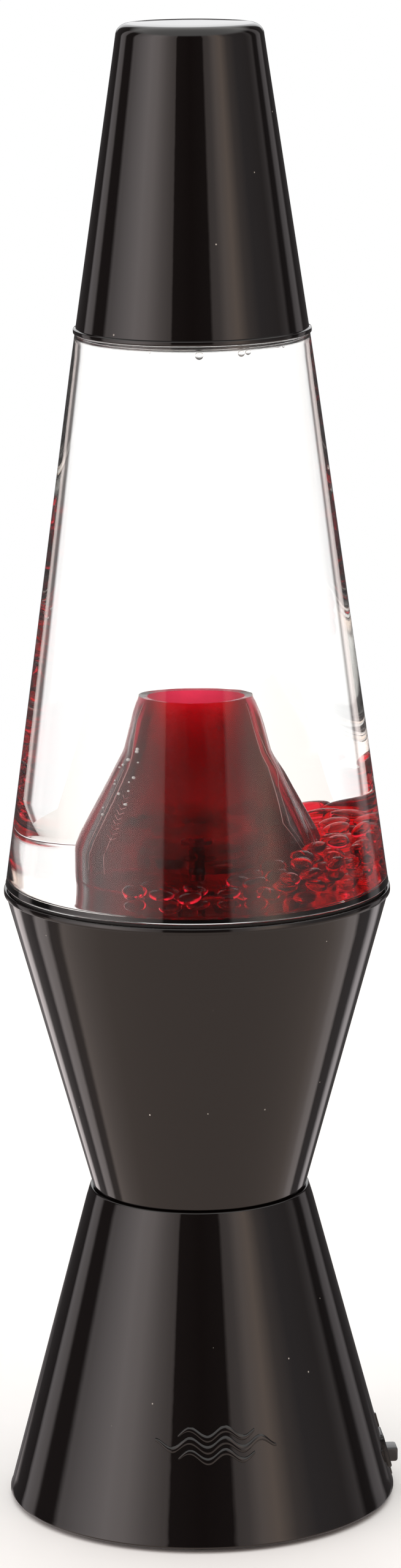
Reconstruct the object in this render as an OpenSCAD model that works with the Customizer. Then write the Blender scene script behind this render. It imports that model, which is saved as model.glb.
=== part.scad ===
// Tabletop volcano lava lamp: a waisted black base with a battery case, a switch and a
// magnetic drive, a clear tapered globe with a translucent volcano and loose beads in liquid,
// and a tapered black cap. The origin is the centre of the resting plane under the feet,
// +Z is up, and the switch is on the +X side.

/* [Base] */
// Radius of the base at the table
foot_r = 38.5; // [38:0.1:39.5]
// Radius of the base at its waist
waist_r = 21.75; // [21.5:0.05:22.2]
// Radius of the rim that carries the globe
rim_r = 37.8; // [37.8:0.1:38.5]
// Height of the waist above the table
waist_z = 63.8; // [63.8:0.1:65]
// Height of the rim above the table
rim_z = 124.4; // [124:0.1:126]
// Height of the rubber feet
foot_h = 1.6; // [1.4:0.1:1.8]

/* [Globe] */
// Height of the globe from its seat to its shoulder
globe_h = 108.3; // [104:0.1:112]
// Outer radius of the globe at its seat
globe_r = 37.5; // [37.3:0.1:37.8]
// Outer radius of the globe at its shoulder
shoulder_r = 22.6; // [22.4:0.1:23]
// Wall of the globe
glass = 2.2; // [2:0.1:2.4]
// Thickness of the clear floor
floor_t = 3.3; // [3:0.1:3.6]
// Outer radius of the neck under the cap
neck_r = 18.6; // [18.2:0.1:18.8]

/* [Cap] */
// Height of the cap
cap_h = 58.8; // [50:0.1:66]
// Radius of the cap at its top
cap_top_r = 13.8; // [13:0.1:15]
// Radius of the cap at its lip
cap_lip_r = 22.9; // [22.8:0.05:23.2]
// Wall of the cap
cap_wall = 1.5; // [1.2:0.1:1.6]
// Radius of the rounded edge round the cap's top
cap_round = 2.4; // [1.5:0.1:3]

/* [Volcano and beads] */
// Height of the volcano
volcano_h = 34.4; // [32:0.1:36]
// Outer radius of the volcano's skirt
volcano_r = 18.4; // [18:0.1:18.6]
// Outer radius of the volcano's mouth
mouth_r = 8.5; // [8:0.1:9]
// Diameter of one bead
bead_d = 4.6; // [4:0.1:4.8]
// Thickness of one bead
bead_t = 2.4; // [2:0.1:2.6]
// Number of air bubbles under the globe's ceiling
bubble_count = 3; // [1:1:5]

/* [Drive] */
// Diameter of the motor
motor_d = 20.4; // [20:0.1:20.6]
// Length of the motor's can
motor_l = 25; // [22:0.5:27]
// Diameter of the motor's shaft
shaft_d = 2; // [1.8:0.1:2]
// Number of LEDs under the globe
led_count = 6; // [4:1:8]

/* [Power] */
// Diameter of one battery
cell_d = 14.2; // [14:0.1:14.4]
// Length of one battery with its nipple
cell_l = 50.5; // [50.2:0.1:50.5]
// Travel of the switch knob from off to on
switch_travel = 2; // [1.5:0.1:2]

/* [Hidden] */
$fn = 96;
e = 0.01;

// Base shells
edge_z = foot_h / 2;
lower_lean = (foot_r - waist_r) / (waist_z - edge_z);
rim_band = 1.2;
upper_top_r = rim_r - 0.4;
upper_waist_r = waist_r - 0.75;
upper_lean = (upper_top_r - upper_waist_r) / (rim_z - rim_band - waist_z);
seat_r = 33.9;
seat_depth = 4.9;
web_t = 2.5;
lower_wall = 3;
plate_t = 2.4;
plate_top = foot_h + plate_t;
plate_r = foot_r - 2.5;
wire_hole_r = 6;

// Globe, neck and cap levels
gasket_t = 0.5;
globe_z = rim_z + gasket_t;
shoulder_z = globe_z + globe_h;
globe_lean = (globe_r - shoulder_r) / globe_h;
floor_z = globe_z + floor_t;
ceiling_z = shoulder_z - 1.2;
neck_bore_r = neck_r - glass;
neck_top_z = shoulder_z + 6.8;
lid_top_z = neck_top_z + 1.8;
cap_top_z = shoulder_z + cap_h;
lip_h = 0.9;
collar_r = seat_r - 0.3;
collar_inner_r = 31.2;
collar_l = 4.6;
diffuser_t = 1.2;

// Stirring drive
rotor_r = 12;
rotor_top_z = globe_z - 3.4;
rotor_t = 4;
magnet_r = 3;
magnet_t = 2.4;
drive_pitch_r = 7.6;
bracket_z = rim_z - 12.4;
bracket_t = 2;
bracket_r = 30.2;
bracket_boss_r = 27;
led_board_z = bracket_z + bracket_t + 2;
led_board_t = 1.6;
led_pitch_r = 22;
axle_r = 1;
axle_top_z = floor_z + 6.3;
impeller_z = floor_z + 0.8;
impeller_disc_r = 9;
impeller_disc_t = 2.6;
impeller_top_z = floor_z + 4.6;
impeller_hub_r = 3;
blade_l = 8.4;
blade_w = 1.2;
stir_pitch_r = 6;
stir_magnet_r = 2.2;
stir_magnet_t = 1.8;

// Electrics
board_z = waist_z + web_t + 3.7;
board_r = 10.6;
board_post_r = 7.6;
cell_gap = 0.3;
cell_pitch_r = 9.2;
case_r = 18;
case_top_z = plate_top + 55.2;
cell_z = plate_top + 1;
bay_r = cell_d / 2 + 0.35;
door_r = 16.8;
door_gap = 0.35;
door_t = plate_t - 0.2;
hinge_y = 20.6;
hinge_z = 2.9;
hinge_pin_r = 0.9;
knuckle_r = 1.8;
latch_y = -20;
switch_z = 7.2;
knob_h = 2.9;
knob_w = 4.4;
knob_rest_z = switch_z - switch_travel / 2;
switch_face_x = 31.5;

// Beads
bead_ring_r = [21.6, 26.7, 31.7];
bead_step = 5.5;
bed_top_z = floor_z + 9.2;
bubble_r = 0.75;

// Outer radius of each tapered wall at height z
function lower_r(z) = foot_r - (z - edge_z) * lower_lean;
function upper_r(z) = upper_waist_r + (z - waist_z) * upper_lean;
function globe_out(z) = globe_r - (z - globe_z) * globe_lean;
function globe_in(z) = globe_out(z) - glass;
function cap_out(z) = cap_lip_r - 0.35 - (z - shoulder_z) * (cap_lip_r - 0.35 - cap_top_r) / cap_h;

function unit(v) = v / norm(v);

// Points of an arc round c, from angle a to angle b
function arc(c, r, a, b, n = 8) = [
    for (i = [0:n]) let (t = a + (b - a) * i / n) [c[0] + r * cos(t), c[1] + r * sin(t)]
];

module at_angles(angles, r, z) {
    for (a = angles) rotate([0, 0, a]) translate([r, 0, z]) children();
}

module ring(r_out, r_in, h) {
    difference() {
        cylinder(h = h, r = r_out);
        translate([0, 0, -1]) cylinder(h = h + 2, r = r_in);
    }
}

// A screw with its head's underside at z = 0 and its shank going up
module screw(shank_r, shank_l, head_r, head_t) {
    cylinder(h = shank_l, r = shank_r);
    translate([0, 0, -head_t]) difference() {
        cylinder(h = head_t, r = head_r);
        translate([0, 0, -e]) for (a = [0, 90]) rotate([0, 0, a])
            translate([-head_r * 0.6, -head_r * 0.12, 0]) cube([head_r * 1.2, head_r * 0.24, head_t * 0.5]);
    }
}

// A lead swept along a list of points as an eight-sided tube
module lead(points, r) {
    sides = 8;
    last = len(points) - 1;
    side_ref = [0.31, 0.95, 0.05];
    way = [for (i = [0:last]) unit(
        (i < last ? unit(points[i + 1] - points[i]) : [0, 0, 0]) +
        (i > 0 ? unit(points[i] - points[i - 1]) : [0, 0, 0]))];
    rings = [for (i = [0:last]) let (u = unit(cross(way[i], side_ref)), v = cross(way[i], u))
        for (k = [0:sides - 1]) points[i] + r * (u * cos(360 * k / sides) + v * sin(360 * k / sides))];
    walls = [for (i = [0:last - 1]) for (k = [0:sides - 1]) let (n = (k + 1) % sides)
        [i * sides + k, (i + 1) * sides + k, (i + 1) * sides + n, i * sides + n]];
    ends = [[for (k = [0:sides - 1]) k], [for (k = [sides - 1:-1:0]) last * sides + k]];
    polyhedron(points = rings, faces = concat(walls, ends));
}

// ---- Cap ----

module cap() {
    top = cap_top_z;
    side_r = cap_out(top - cap_round);
    inner_top = top - 2;
    color("#121214") {
        rotate_extrude() polygon(concat(
            [[cap_lip_r - 1.6, shoulder_z], [cap_lip_r, shoulder_z], [cap_lip_r, shoulder_z + lip_h],
             [cap_out(shoulder_z + lip_h + 0.3), shoulder_z + lip_h + 0.3]],
            arc([side_r - cap_round, top - cap_round], cap_round, 8, 90),
            [[0, top], [0, inner_top], [cap_out(inner_top) - cap_wall - 1, inner_top],
             [cap_out(inner_top - 1) - cap_wall, inner_top - 1]]));
        // Three ribs centre the cap on the neck
        at_angles([90, 210, 330], neck_r + 0.3, shoulder_z + 0.8) translate([0, -0.6, 0])
            cube([cap_out(shoulder_z + 6) - neck_r - 1, 1.2, 5.4]);
    }
}

// ---- Globe and what it holds ----

module globe() {
    color("#dfe6ea", 0.3) rotate_extrude() polygon([
        [globe_in(globe_z), globe_z], [globe_out(globe_z) - 0.3, globe_z],
        [globe_out(globe_z + 0.3), globe_z + 0.3], [shoulder_r, shoulder_z - 0.2],
        [shoulder_r - 0.3, shoulder_z], [neck_r, shoulder_z], [neck_r, neck_top_z],
        [neck_bore_r, neck_top_z], [neck_bore_r, ceiling_z], [globe_in(ceiling_z), ceiling_z]]);
}

module globe_floor() {
    color("#e6ebee", 0.35) difference() {
        translate([0, 0, globe_z]) cylinder(h = floor_t, r1 = globe_in(globe_z), r2 = globe_in(floor_z));
        translate([0, 0, floor_z - 2]) cylinder(h = 3, r = axle_r);
    }
}

module neck_lid() {
    seal_z = shoulder_z + 3;
    color("#2a1c18") difference() {
        union() {
            translate([0, 0, ceiling_z]) cylinder(h = lid_top_z - ceiling_z, r = neck_bore_r);
            translate([0, 0, neck_top_z]) cylinder(h = lid_top_z - neck_top_z, r = neck_r);
        }
        translate([0, 0, seal_z - 0.9]) difference() {
            cylinder(h = 1.8, r = neck_bore_r + 1);
            translate([0, 0, -1]) cylinder(h = 4, r = neck_bore_r - 1.5);
        }
        translate([0, 0, ceiling_z - 1]) cylinder(h = 20, r = 2.5);
    }
}

module lid_seal() {
    color("#1b1b1b") translate([0, 0, shoulder_z + 3]) rotate_extrude()
        translate([neck_bore_r - 0.75, 0]) circle(r = 0.75, $fn = 32);
}

module fill_plug() {
    color("#26211f") {
        translate([0, 0, ceiling_z]) cylinder(h = lid_top_z - ceiling_z, r = 2.5);
        translate([0, 0, lid_top_z]) difference() {
            cylinder(h = 1.2, r = 4);
            translate([-3, -0.4, 0.6]) cube([6, 0.8, 1]);
        }
    }
}

module globe_collar() {
    color("#161618") translate([0, 0, globe_z - collar_l]) difference() {
        ring(collar_r, collar_inner_r, collar_l);
        for (a = [30, 150, 270]) rotate([0, 0, a]) translate([collar_inner_r - 1, -3, -1]) cube([4, 6, 3]);
    }
}

module diffuser() {
    color("#b7b4ae") translate([0, 0, globe_z - diffuser_t]) cylinder(h = diffuser_t, r = collar_inner_r);
}

// The liquid above the bead bed and round the volcano
module liquid() {
    gap = 0.3;
    color("#f4f7fa", 0.25) difference() {
        rotate_extrude() polygon(concat(
            [[0, floor_z + volcano_h + gap], [mouth_r + gap, floor_z + volcano_h + gap]],
            [for (p = volcano_side(gap)) if (p[1] > bed_top_z) p],
            [[volcano_r, bed_top_z], [globe_in(bed_top_z), bed_top_z], [globe_in(ceiling_z), ceiling_z],
             [0, ceiling_z]]));
        bubble_balls();
    }
}

// Points down the volcano's flank, moved out by gap
function volcano_side(gap) = [
    for (t = [[0, 1], [0.18, 0.69], [0.42, 0.515], [0.58, 0.35], [1, 0.12]])
        [mouth_r + (volcano_r - mouth_r) * t[0] + gap, floor_z + volcano_h * t[1]]
];

module volcano() {
    wall = 1.3;
    flank = volcano_side(0);
    inner = volcano_side(-wall);
    color("#c8102e", 0.75) difference() {
        rotate_extrude() polygon(concat(
            flank, [[volcano_r, floor_z], [volcano_r - wall, floor_z]],
            [for (i = [4:-1:0]) inner[i]]));
        // Arches that let the beads back in to the impeller
        for (a = [30:60:330]) rotate([0, 0, a]) translate([volcano_r - 3, 0, floor_z]) rotate([0, 90, 0])
            cylinder(h = 6, r = 3, $fn = 32);
    }
}

module bead() {
    half = bead_t / 2;
    rim = 0.45;
    rotate_extrude($fn = 32) polygon([
        [0, -half], [bead_d * 0.3, -half * 0.8], [bead_d / 2 - 0.25, -rim], [bead_d / 2, 0],
        [bead_d / 2 - 0.25, rim], [bead_d * 0.3, half * 0.8], [0, half]]);
}

// One layer in three rings round the volcano, thinner at the far left, and a heap on the right
module beads() {
    color("#e01f3a", 0.8) {
        for (r = bead_ring_r)
            for (i = [0:floor(2 * PI * r / bead_step) - 1])
                let (a = i * 360 / floor(2 * PI * r / bead_step))
                    if (r < 25 || abs(a - 180) > 40)
                        rotate([0, 0, a]) translate([r, 0, floor_z + bead_t / 2 + 0.05]) bead();
        for (i = [-5:5]) rotate([0, 0, 11 * i]) translate([29.2, 0, floor_z + bead_t * 1.5 + 0.15]) bead();
    }
}

// Air bubbles held under the ceiling beside the wall
module bubble_balls() {
    at_angles([for (i = [0:bubble_count - 1]) -89 + 9 * i], globe_in(ceiling_z) - 1.3,
            ceiling_z - bubble_r - 0.1)
        sphere(r = bubble_r, $fn = 24);
}

module air_bubbles() {
    color("#ffffff", 0.4) bubble_balls();
}

module impeller() {
    height = impeller_top_z - impeller_z;
    color("#8e1022") translate([0, 0, impeller_z]) difference() {
        union() {
            cylinder(h = impeller_disc_t, r = impeller_disc_r);
            cylinder(h = height, r = impeller_hub_r);
            for (a = [0:90:270]) rotate([0, 0, a]) translate([0, -blade_w / 2, 0]) cube([blade_l, blade_w, height]);
        }
        translate([0, 0, -1]) cylinder(h = height + 2, r = axle_r + 0.06);
        at_angles([45, 225], stir_pitch_r, impeller_disc_t - stir_magnet_t) cylinder(h = stir_magnet_t + 1, r = stir_magnet_r);
    }
}

module impeller_magnets() {
    color("#9a9ca0") at_angles([45, 225], stir_pitch_r, impeller_z + impeller_disc_t - stir_magnet_t)
        cylinder(h = stir_magnet_t, r = stir_magnet_r);
}

module impeller_axle() {
    color("#c9cbcf") translate([0, 0, floor_z - 2]) cylinder(h = axle_top_z - floor_z + 2, r = axle_r);
}

module thrust_washer() {
    color("#f2f0ea") translate([0, 0, floor_z]) ring(2.6, axle_r, 0.5);
}

module axle_clip() {
    color("#8d8f94") translate([0, 0, impeller_top_z + 0.5]) ring(2.2, axle_r, 0.7);
}

module seat_gasket() {
    color("#2b2b2d") translate([0, 0, rim_z]) ring(rim_r - 1, seat_r + 0.4, gasket_t);
}

// ---- Base shells ----

module base_upper() {
    in_top = rim_z - seat_depth;
    in_low = waist_z + web_t;
    color("#141416") difference() {
        union() {
            rotate_extrude() polygon([
                [wire_hole_r, waist_z], [upper_waist_r, waist_z], [upper_top_r, rim_z - rim_band],
                [rim_r, rim_z - rim_band + 0.2], [rim_r, rim_z - 0.3], [rim_r - 0.3, rim_z],
                [seat_r, rim_z], [seat_r, in_top], [upper_r(in_low) - 2.8, in_low], [wire_hole_r, in_low]]);
            // Posts for the motor bracket and for the control board, and bosses for the waist screws
            at_angles([90, 210, 330], bracket_boss_r, bracket_z - 13) cylinder(h = 13, r = 3.2);
            at_angles([0, 180], board_post_r, waist_z + 1) cylinder(h = board_z - waist_z - 1, r = 2);
            at_angles([30, 150, 270], 14, waist_z + 1) cylinder(h = 7, r = 3);
        }
        at_angles([90, 210, 330], bracket_boss_r, bracket_z - 8) cylinder(h = 9, r = 1.2);
        at_angles([0, 180], board_post_r, board_z - 4) cylinder(h = 5, r = 0.9);
        at_angles([30, 150, 270], 14, waist_z - 1) cylinder(h = 7, r = 1.2);
    }
}

// Puts its children on the cone's face at the switch, up along the wall from its middle
module on_switch_face(up) {
    translate([lower_r(switch_z), 0, switch_z]) rotate([0, -atan(lower_lean), 0])
        translate([0, 0, up]) children();
}

module switch_plate(w, h, depth, proud) {
    on_switch_face(0) translate([-depth, -w / 2, -h / 2]) cube([depth + proud, w, h]);
}

module base_lower() {
    web_z = waist_z - web_t;
    color("#141416") difference() {
        union() {
            rotate_extrude() polygon([
                [plate_r, edge_z], [foot_r - 0.5, edge_z], [foot_r - 0.12, edge_z + 0.4],
                [lower_r(waist_z - 0.4), waist_z - 0.4], [waist_r - 0.4, waist_z], [wire_hole_r, waist_z],
                [wire_hole_r, web_z], [lower_r(web_z) - lower_wall, web_z],
                [plate_r - 1.5, plate_top], [plate_r, plate_top]]);
            // Pad that the switch is screwed to
            translate([switch_face_x, -11, plate_top + 0.4]) cube([4, 22, 6.2]);
            // Raised marks by the switch: a bar for on, a ring for off
            on_switch_face(6) translate([-1, -0.45, -1.5]) cube([1.35, 0.9, 3]);
            on_switch_face(-4.9) rotate([0, 90, 0]) translate([0, 0, -1]) ring(1.05, 0.55, 1.35);
            // Bosses for the bottom plate's screws
            at_angles([45, 135, 225, 315], 31.2, plate_top) cylinder(h = 8, r = 2.9);
        }
        switch_plate(7.6, 7, 0.9, 3);
        translate([switch_face_x - 2, -knob_w / 2 - 0.4, switch_z - 2.8]) cube([12, knob_w + 0.8, 5.6]);
        at_angles([45, 135, 225, 315], 31.2, plate_top - 1) cylinder(h = 7, r = 1.1);
        at_angles([30, 150, 270], 14, waist_z - web_t - 1) cylinder(h = 6, r = 1.5);
        for (y = [-8, 8]) translate([switch_face_x - 1, y, switch_z]) rotate([0, 90, 0])
            cylinder(h = 3.5, r = 0.8);
    }
}

module waist_screws() {
    color("#a9abae") at_angles([30, 150, 270], 14, waist_z - web_t) screw(1.2, web_t + 5.5, 2.5, 1.5);
}

// ---- Light and drive under the globe ----

module led_board() {
    color("#e9ecef") translate([0, 0, led_board_z]) ring(29, 15, led_board_t);
}

module leds() {
    color("#fff3d6") at_angles([for (i = [0:led_count - 1]) i * 360 / led_count + 30], led_pitch_r,
            led_board_z + led_board_t) {
        translate([-2.5, -2.5, 0]) cube([5, 5, 1.2]);
        translate([0, 0, 1.2]) cylinder(h = 0.6, r1 = 2, r2 = 1.5);
    }
}

module reflector() {
    color("#f4f4f2") translate([0, 0, led_board_z]) rotate_extrude() polygon([
        [29, 0], [30.8, 0], [30.8, 6.6], [30.3, 6.6], [30.3, led_board_t + 0.6], [29, led_board_t + 0.6]]);
}

module motor_bracket() {
    color("#1c1d20") difference() {
        union() {
            translate([0, 0, bracket_z]) cylinder(h = bracket_t, r = bracket_r);
            at_angles([30, 150, 270], 25, bracket_z) cylinder(h = led_board_z - bracket_z, r = 2.5);
        }
        translate([0, 0, bracket_z - 1]) cylinder(h = 10, r = 3.2);
        at_angles([90, 210, 330], bracket_boss_r, bracket_z - 1) cylinder(h = 10, r = 1.5);
        at_angles([0, 180], 6, bracket_z - 1) cylinder(h = 10, r = 1);
        at_angles([60], 20, bracket_z - 1) cylinder(h = 10, r = 2);
    }
}

module bracket_screws() {
    color("#a9abae") {
        at_angles([90, 210, 330], bracket_boss_r, bracket_z + bracket_t) mirror([0, 0, 1])
            screw(1.2, 7, 1.5, 0.9);
        at_angles([0, 180], 6, bracket_z + bracket_t) mirror([0, 0, 1]) screw(0.9, 4, 1.6, 0.8);
    }
}

module motor() {
    color("#b9bcc2") difference() {
        union() {
            translate([0, 0, bracket_z - motor_l]) intersection() {
                cylinder(h = motor_l, r = motor_d / 2);
                translate([-motor_d, -7.7, -1]) cube([2 * motor_d, 15.4, motor_l + 2]);
            }
            translate([0, 0, bracket_z]) cylinder(h = 1.4, r = 3);
            translate([0, 0, bracket_z - motor_l - 1.6]) cylinder(h = 2, r = 3);
            for (x = [-5, 5]) translate([x - 0.3, -1, bracket_z - motor_l - 3]) cube([0.6, 2, 3.2]);
        }
        translate([0, 0, bracket_z - 12]) cylinder(h = 20, r = shaft_d / 2 + 0.05);
        at_angles([0, 180], 6, bracket_z - 3) cylinder(h = 4, r = 0.9);
    }
}

module motor_shaft() {
    color("#d4d6da") translate([0, 0, bracket_z - 11.5])
        cylinder(h = rotor_top_z - bracket_z + 11.5, r = shaft_d / 2);
}

module magnet_carrier() {
    color("#3a3d42") difference() {
        union() {
            translate([0, 0, rotor_top_z - rotor_t]) cylinder(h = rotor_t, r = rotor_r);
            translate([0, 0, rotor_top_z - rotor_t - 1.8]) cylinder(h = 3, r = 3.4);
        }
        translate([0, 0, rotor_top_z - rotor_t - 3]) cylinder(h = 12, r = shaft_d / 2);
        at_angles([45, 225], drive_pitch_r, rotor_top_z - magnet_t) cylinder(h = 4, r = magnet_r);
    }
}

module drive_magnets() {
    color("#9a9ca0") at_angles([45, 225], drive_pitch_r, rotor_top_z - magnet_t)
        cylinder(h = magnet_t, r = magnet_r);
}

module control_board() {
    color("#1d6b3a") difference() {
        translate([0, 0, board_z]) cylinder(h = 1.2, r = board_r);
        at_angles([0, 180], board_post_r, board_z - 1) cylinder(h = 4, r = 1);
        translate([0, 6.5, board_z - 1]) cylinder(h = 4, r = 1.8);
    }
}

module board_parts() {
    top = board_z + 1.2;
    color("#2a2a2c") {
        translate([-3, -2.5, top]) cube([6, 5, 1.5]);
        translate([0, -7.5, top]) cylinder(h = 7, r = 2.5);
        for (x = [-5.6, 4.4]) translate([x, 1.6, top]) cube([1.2, 2, 0.6]);
    }
}

module board_screws() {
    color("#a9abae") at_angles([0, 180], board_post_r, board_z + 1.2) mirror([0, 0, 1]) screw(0.9, 4.6, 1.6, 0.9);
}

// ---- Battery case and underside ----

module battery_case() {
    color("#1a1a1c") difference() {
        union() {
            translate([0, 0, plate_top]) cylinder(h = case_top_z - plate_top, r = case_r);
            at_angles([35, 145, 215, 325], 20.6, plate_top) cylinder(h = 6, r = 2.6);
            // Screw boss for the door's latch
            translate([0, latch_y, plate_top]) cylinder(h = 6, r = 3);
        }
        at_angles([90, 210, 330], cell_pitch_r, plate_top - 1) cylinder(h = case_top_z - plate_top - 0.5, r = bay_r);
        at_angles([35, 145, 215, 325], 20.6, plate_top - 1) cylinder(h = 5, r = 0.9);
        translate([0, latch_y, plate_top - 1]) cylinder(h = 6, r = 1.7);
        translate([0, 0, case_top_z - 3]) at_angles([30, 150, 270], 4, 0) cylinder(h = 5, r = 0.9);
    }
}

module batteries() {
    body_l = cell_l - 1;
    color("#7c8087") for (i = [0:2]) rotate([0, 0, 90 + 120 * i])
        translate([cell_pitch_r, 0, cell_z + (i == 1 ? 1 : 0)]) {
            cylinder(h = body_l, r = cell_d / 2);
            translate([0, 0, i == 1 ? -1 : body_l]) cylinder(h = 1, r = 2.7);
        }
}

// Contact plates under the roof of the case, each with a short coil spring
module battery_springs() {
    roof = case_top_z - 1.5;
    gap = roof - cell_z - cell_l;
    color("#c7c9cd") at_angles([90, 210, 330], cell_pitch_r, roof - 0.4) {
        cylinder(h = 0.4, r = 5.5);
        for (k = [0:1]) translate([0, 0, -0.3 - 0.6 * k]) rotate_extrude()
            translate([3.6 - 0.3 * k, 0]) circle(r = 0.35, $fn = 24);
        translate([0, 0, 0.4 - gap + 0.05]) cylinder(h = gap - 0.45, r = 1.4);
    }
}

module case_screws() {
    color("#a9abae") at_angles([35, 145, 215, 325], 20.6, plate_top - 1.2) screw(0.9, 5, 1.8, 1);
}

module bottom_plate() {
    color("#17171a") difference() {
        union() {
            translate([0, 0, foot_h]) cylinder(h = plate_t, r = plate_r);
            for (x = [-6.6, 4.4]) translate([x, hinge_y, hinge_z]) rotate([0, 90, 0])
                cylinder(h = 2.2, r = knuckle_r);
        }
        translate([0, 0, foot_h - 1]) cylinder(h = plate_t + 2, r = door_r + door_gap);
        translate([-4.4, 12, foot_h - 1]) cube([8.8, 12, plate_t + 2]);
        translate([-7.2, hinge_y, hinge_z]) rotate([0, 90, 0]) cylinder(h = 14.4, r = hinge_pin_r);
        // Recess and hole for the latch tongue
        translate([-4.4, latch_y - 4, foot_h - 1]) cube([8.8, 8, 2.5]);
        translate([0, latch_y, foot_h]) cylinder(h = 5, r = 1.7);
        at_angles([35, 145, 215, 325], 20.6, foot_h - 1) cylinder(h = 5, r = 1.2);
        at_angles([35, 145, 215, 325], 20.6, foot_h - 1) cylinder(h = 2.2, r = 2);
        at_angles([45, 135, 225, 315], 31.2, foot_h - 1) cylinder(h = 5, r = 1.3);
        at_angles([45, 135, 225, 315], 31.2, foot_h - 1) cylinder(h = 2.2, r = 2.3);
    }
}

module plate_screws() {
    color("#a9abae") at_angles([45, 135, 225, 315], 31.2, plate_top - 1.2) screw(1.1, 6, 2.1, 1.1);
}

module feet() {
    color("#0d0d0e") at_angles([0, 90, 180, 270], 29.6, 0) {
        cylinder(h = 0.4, r1 = 3.3, r2 = 3.7);
        translate([0, 0, 0.4]) cylinder(h = foot_h - 0.4, r = 3.7);
    }
}

module hinge_pin() {
    color("#c9cbcf") translate([-6.6, hinge_y, hinge_z]) rotate([0, 90, 0])
        cylinder(h = 13.2, r = hinge_pin_r);
}

module battery_door() {
    color("#17171a") difference() {
        union() {
            translate([0, 0, foot_h]) cylinder(h = door_t, r = door_r);
            translate([-4, 14, foot_h]) cube([8, hinge_y - 14, door_t]);
            translate([-4, hinge_y, hinge_z]) rotate([0, 90, 0]) cylinder(h = 8, r = knuckle_r);
            translate([-4, latch_y - 3, foot_h]) cube([8, 8, 1.2]);
        }
        translate([-6, hinge_y, hinge_z]) rotate([0, 90, 0]) cylinder(h = 12, r = hinge_pin_r + 0.06);
        translate([0, latch_y, foot_h - 1]) cylinder(h = 4, r = 1);
        // Finger grip
        for (y = [-9, -6.5, -4]) translate([-5, y, foot_h - 1]) cube([10, 1.2, 1.5]);
    }
}

module door_contacts() {
    color("#c7c9cd") at_angles([90, 210, 330], cell_pitch_r, foot_h + door_t) {
        cylinder(h = 0.35, r = 4.6);
        cylinder(h = 0.7, r = 1.6);
    }
}

module door_screw() {
    color("#b9bbbf") translate([0, latch_y, foot_h]) {
        translate([0, 0, -0.7]) difference() {
            cylinder(h = 0.7, r = 2.4);
            translate([-1.8, -0.35, -0.5]) cube([3.6, 0.7, 0.8]);
        }
        cylinder(h = 6, r = 1);
    }
}

// ---- Switch ----

module switch_body() {
    back = 6.5;
    color("#202124") difference() {
        union() {
            translate([switch_face_x - back, -4.6, plate_top + 0.5]) cube([back, 9.2, 6]);
            translate([switch_face_x - 0.8, -9.6, plate_top + 0.5]) cube([0.8, 19.2, 5.6]);
            for (y = [-2.8, 0, 2.8]) translate([switch_face_x - back - 2.5, y - 0.4, switch_z - 0.15])
                cube([2.6, 0.8, 0.3]);
        }
        translate([switch_face_x - 4.5, -knob_w / 2 - 0.4, switch_z - 2.8]) cube([6, knob_w + 0.8, 5.6]);
        for (y = [-8, 8]) translate([switch_face_x - 2, y, switch_z]) rotate([0, 90, 0])
            cylinder(h = 4, r = 0.8);
    }
}

module switch_screws() {
    color("#a9abae") for (y = [-8, 8]) translate([switch_face_x - 0.8, y, switch_z]) rotate([0, 90, 0])
        screw(0.8, 3, 1.5, 0.8);
}

module switch_bezel() {
    color("#101012") difference() {
        switch_plate(7.4, 6.8, 0.9, 0.5);
        translate([switch_face_x, -knob_w / 2 - 0.4, switch_z - 2.8]) cube([12, knob_w + 0.8, 5.6]);
    }
}

module switch_knob() {
    outer_x = 39.3;
    color("#0e0e10") {
        translate([33.4, -knob_w / 2, knob_rest_z - knob_h / 2]) cube([outer_x - 33.4, knob_w, knob_h]);
        translate([switch_face_x - 4, -1.6, knob_rest_z - 1.1]) cube([6.2, 3.2, 2.2]);
    }
}

// ---- Leads ----

module lower_leads() {
    over_z = case_top_z + 1.1;
    color("#b3262a") {
        // One lead goes from the case's roof up through the waist
        lead([[2, 0, case_top_z], [2, 0, case_top_z + 3], [3.4, 2, waist_z + 3], [3.4, 2, board_z]], 0.5);
        // The other comes up from the switch between the case and the shell
        lead([[switch_face_x - 8.3, 0, switch_z + 0.15], [switch_face_x - 8.3, 0, 12], [18.95, 0.8, 30],
              [18.95, 0.8, over_z - 0.2], [4.4, 0, over_z], [4.4, -2.8, waist_z], [4.4, -2.8, board_z]], 0.5);
    }
}

module upper_leads() {
    top = board_z + 1.2;
    motor_end_z = bracket_z - motor_l - 3;
    color("#20242b") {
        for (s = [-1, 1])
            lead([[5 * s, 2.6, top + 0.6], [5 * s, 2.6, top + 3], [7.2 * s, 2, top + 7],
                  [5 * s, 0, motor_end_z - 2], [5 * s, 0, motor_end_z]], 0.5);
        lead([[0, 7.8, top], [0, 7.8, top + 2], [4, 14, top + 12], [10, 17.32, bracket_z - 8],
              [10, 17.32, led_board_z]], 0.5);
    }
}

cap();
globe();
globe_floor();
neck_lid();
lid_seal();
fill_plug();
globe_collar();
diffuser();
liquid();
volcano();
beads();
air_bubbles();
impeller();
impeller_magnets();
impeller_axle();
thrust_washer();
axle_clip();
seat_gasket();
base_upper();
base_lower();
waist_screws();
led_board();
leds();
reflector();
motor_bracket();
bracket_screws();
motor();
motor_shaft();
magnet_carrier();
drive_magnets();
control_board();
board_parts();
board_screws();
battery_case();
batteries();
battery_springs();
case_screws();
bottom_plate();
plate_screws();
feet();
hinge_pin();
battery_door();
door_contacts();
door_screw();
switch_body();
switch_screws();
switch_bezel();
switch_knob();
lower_leads();
upper_leads();
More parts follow.
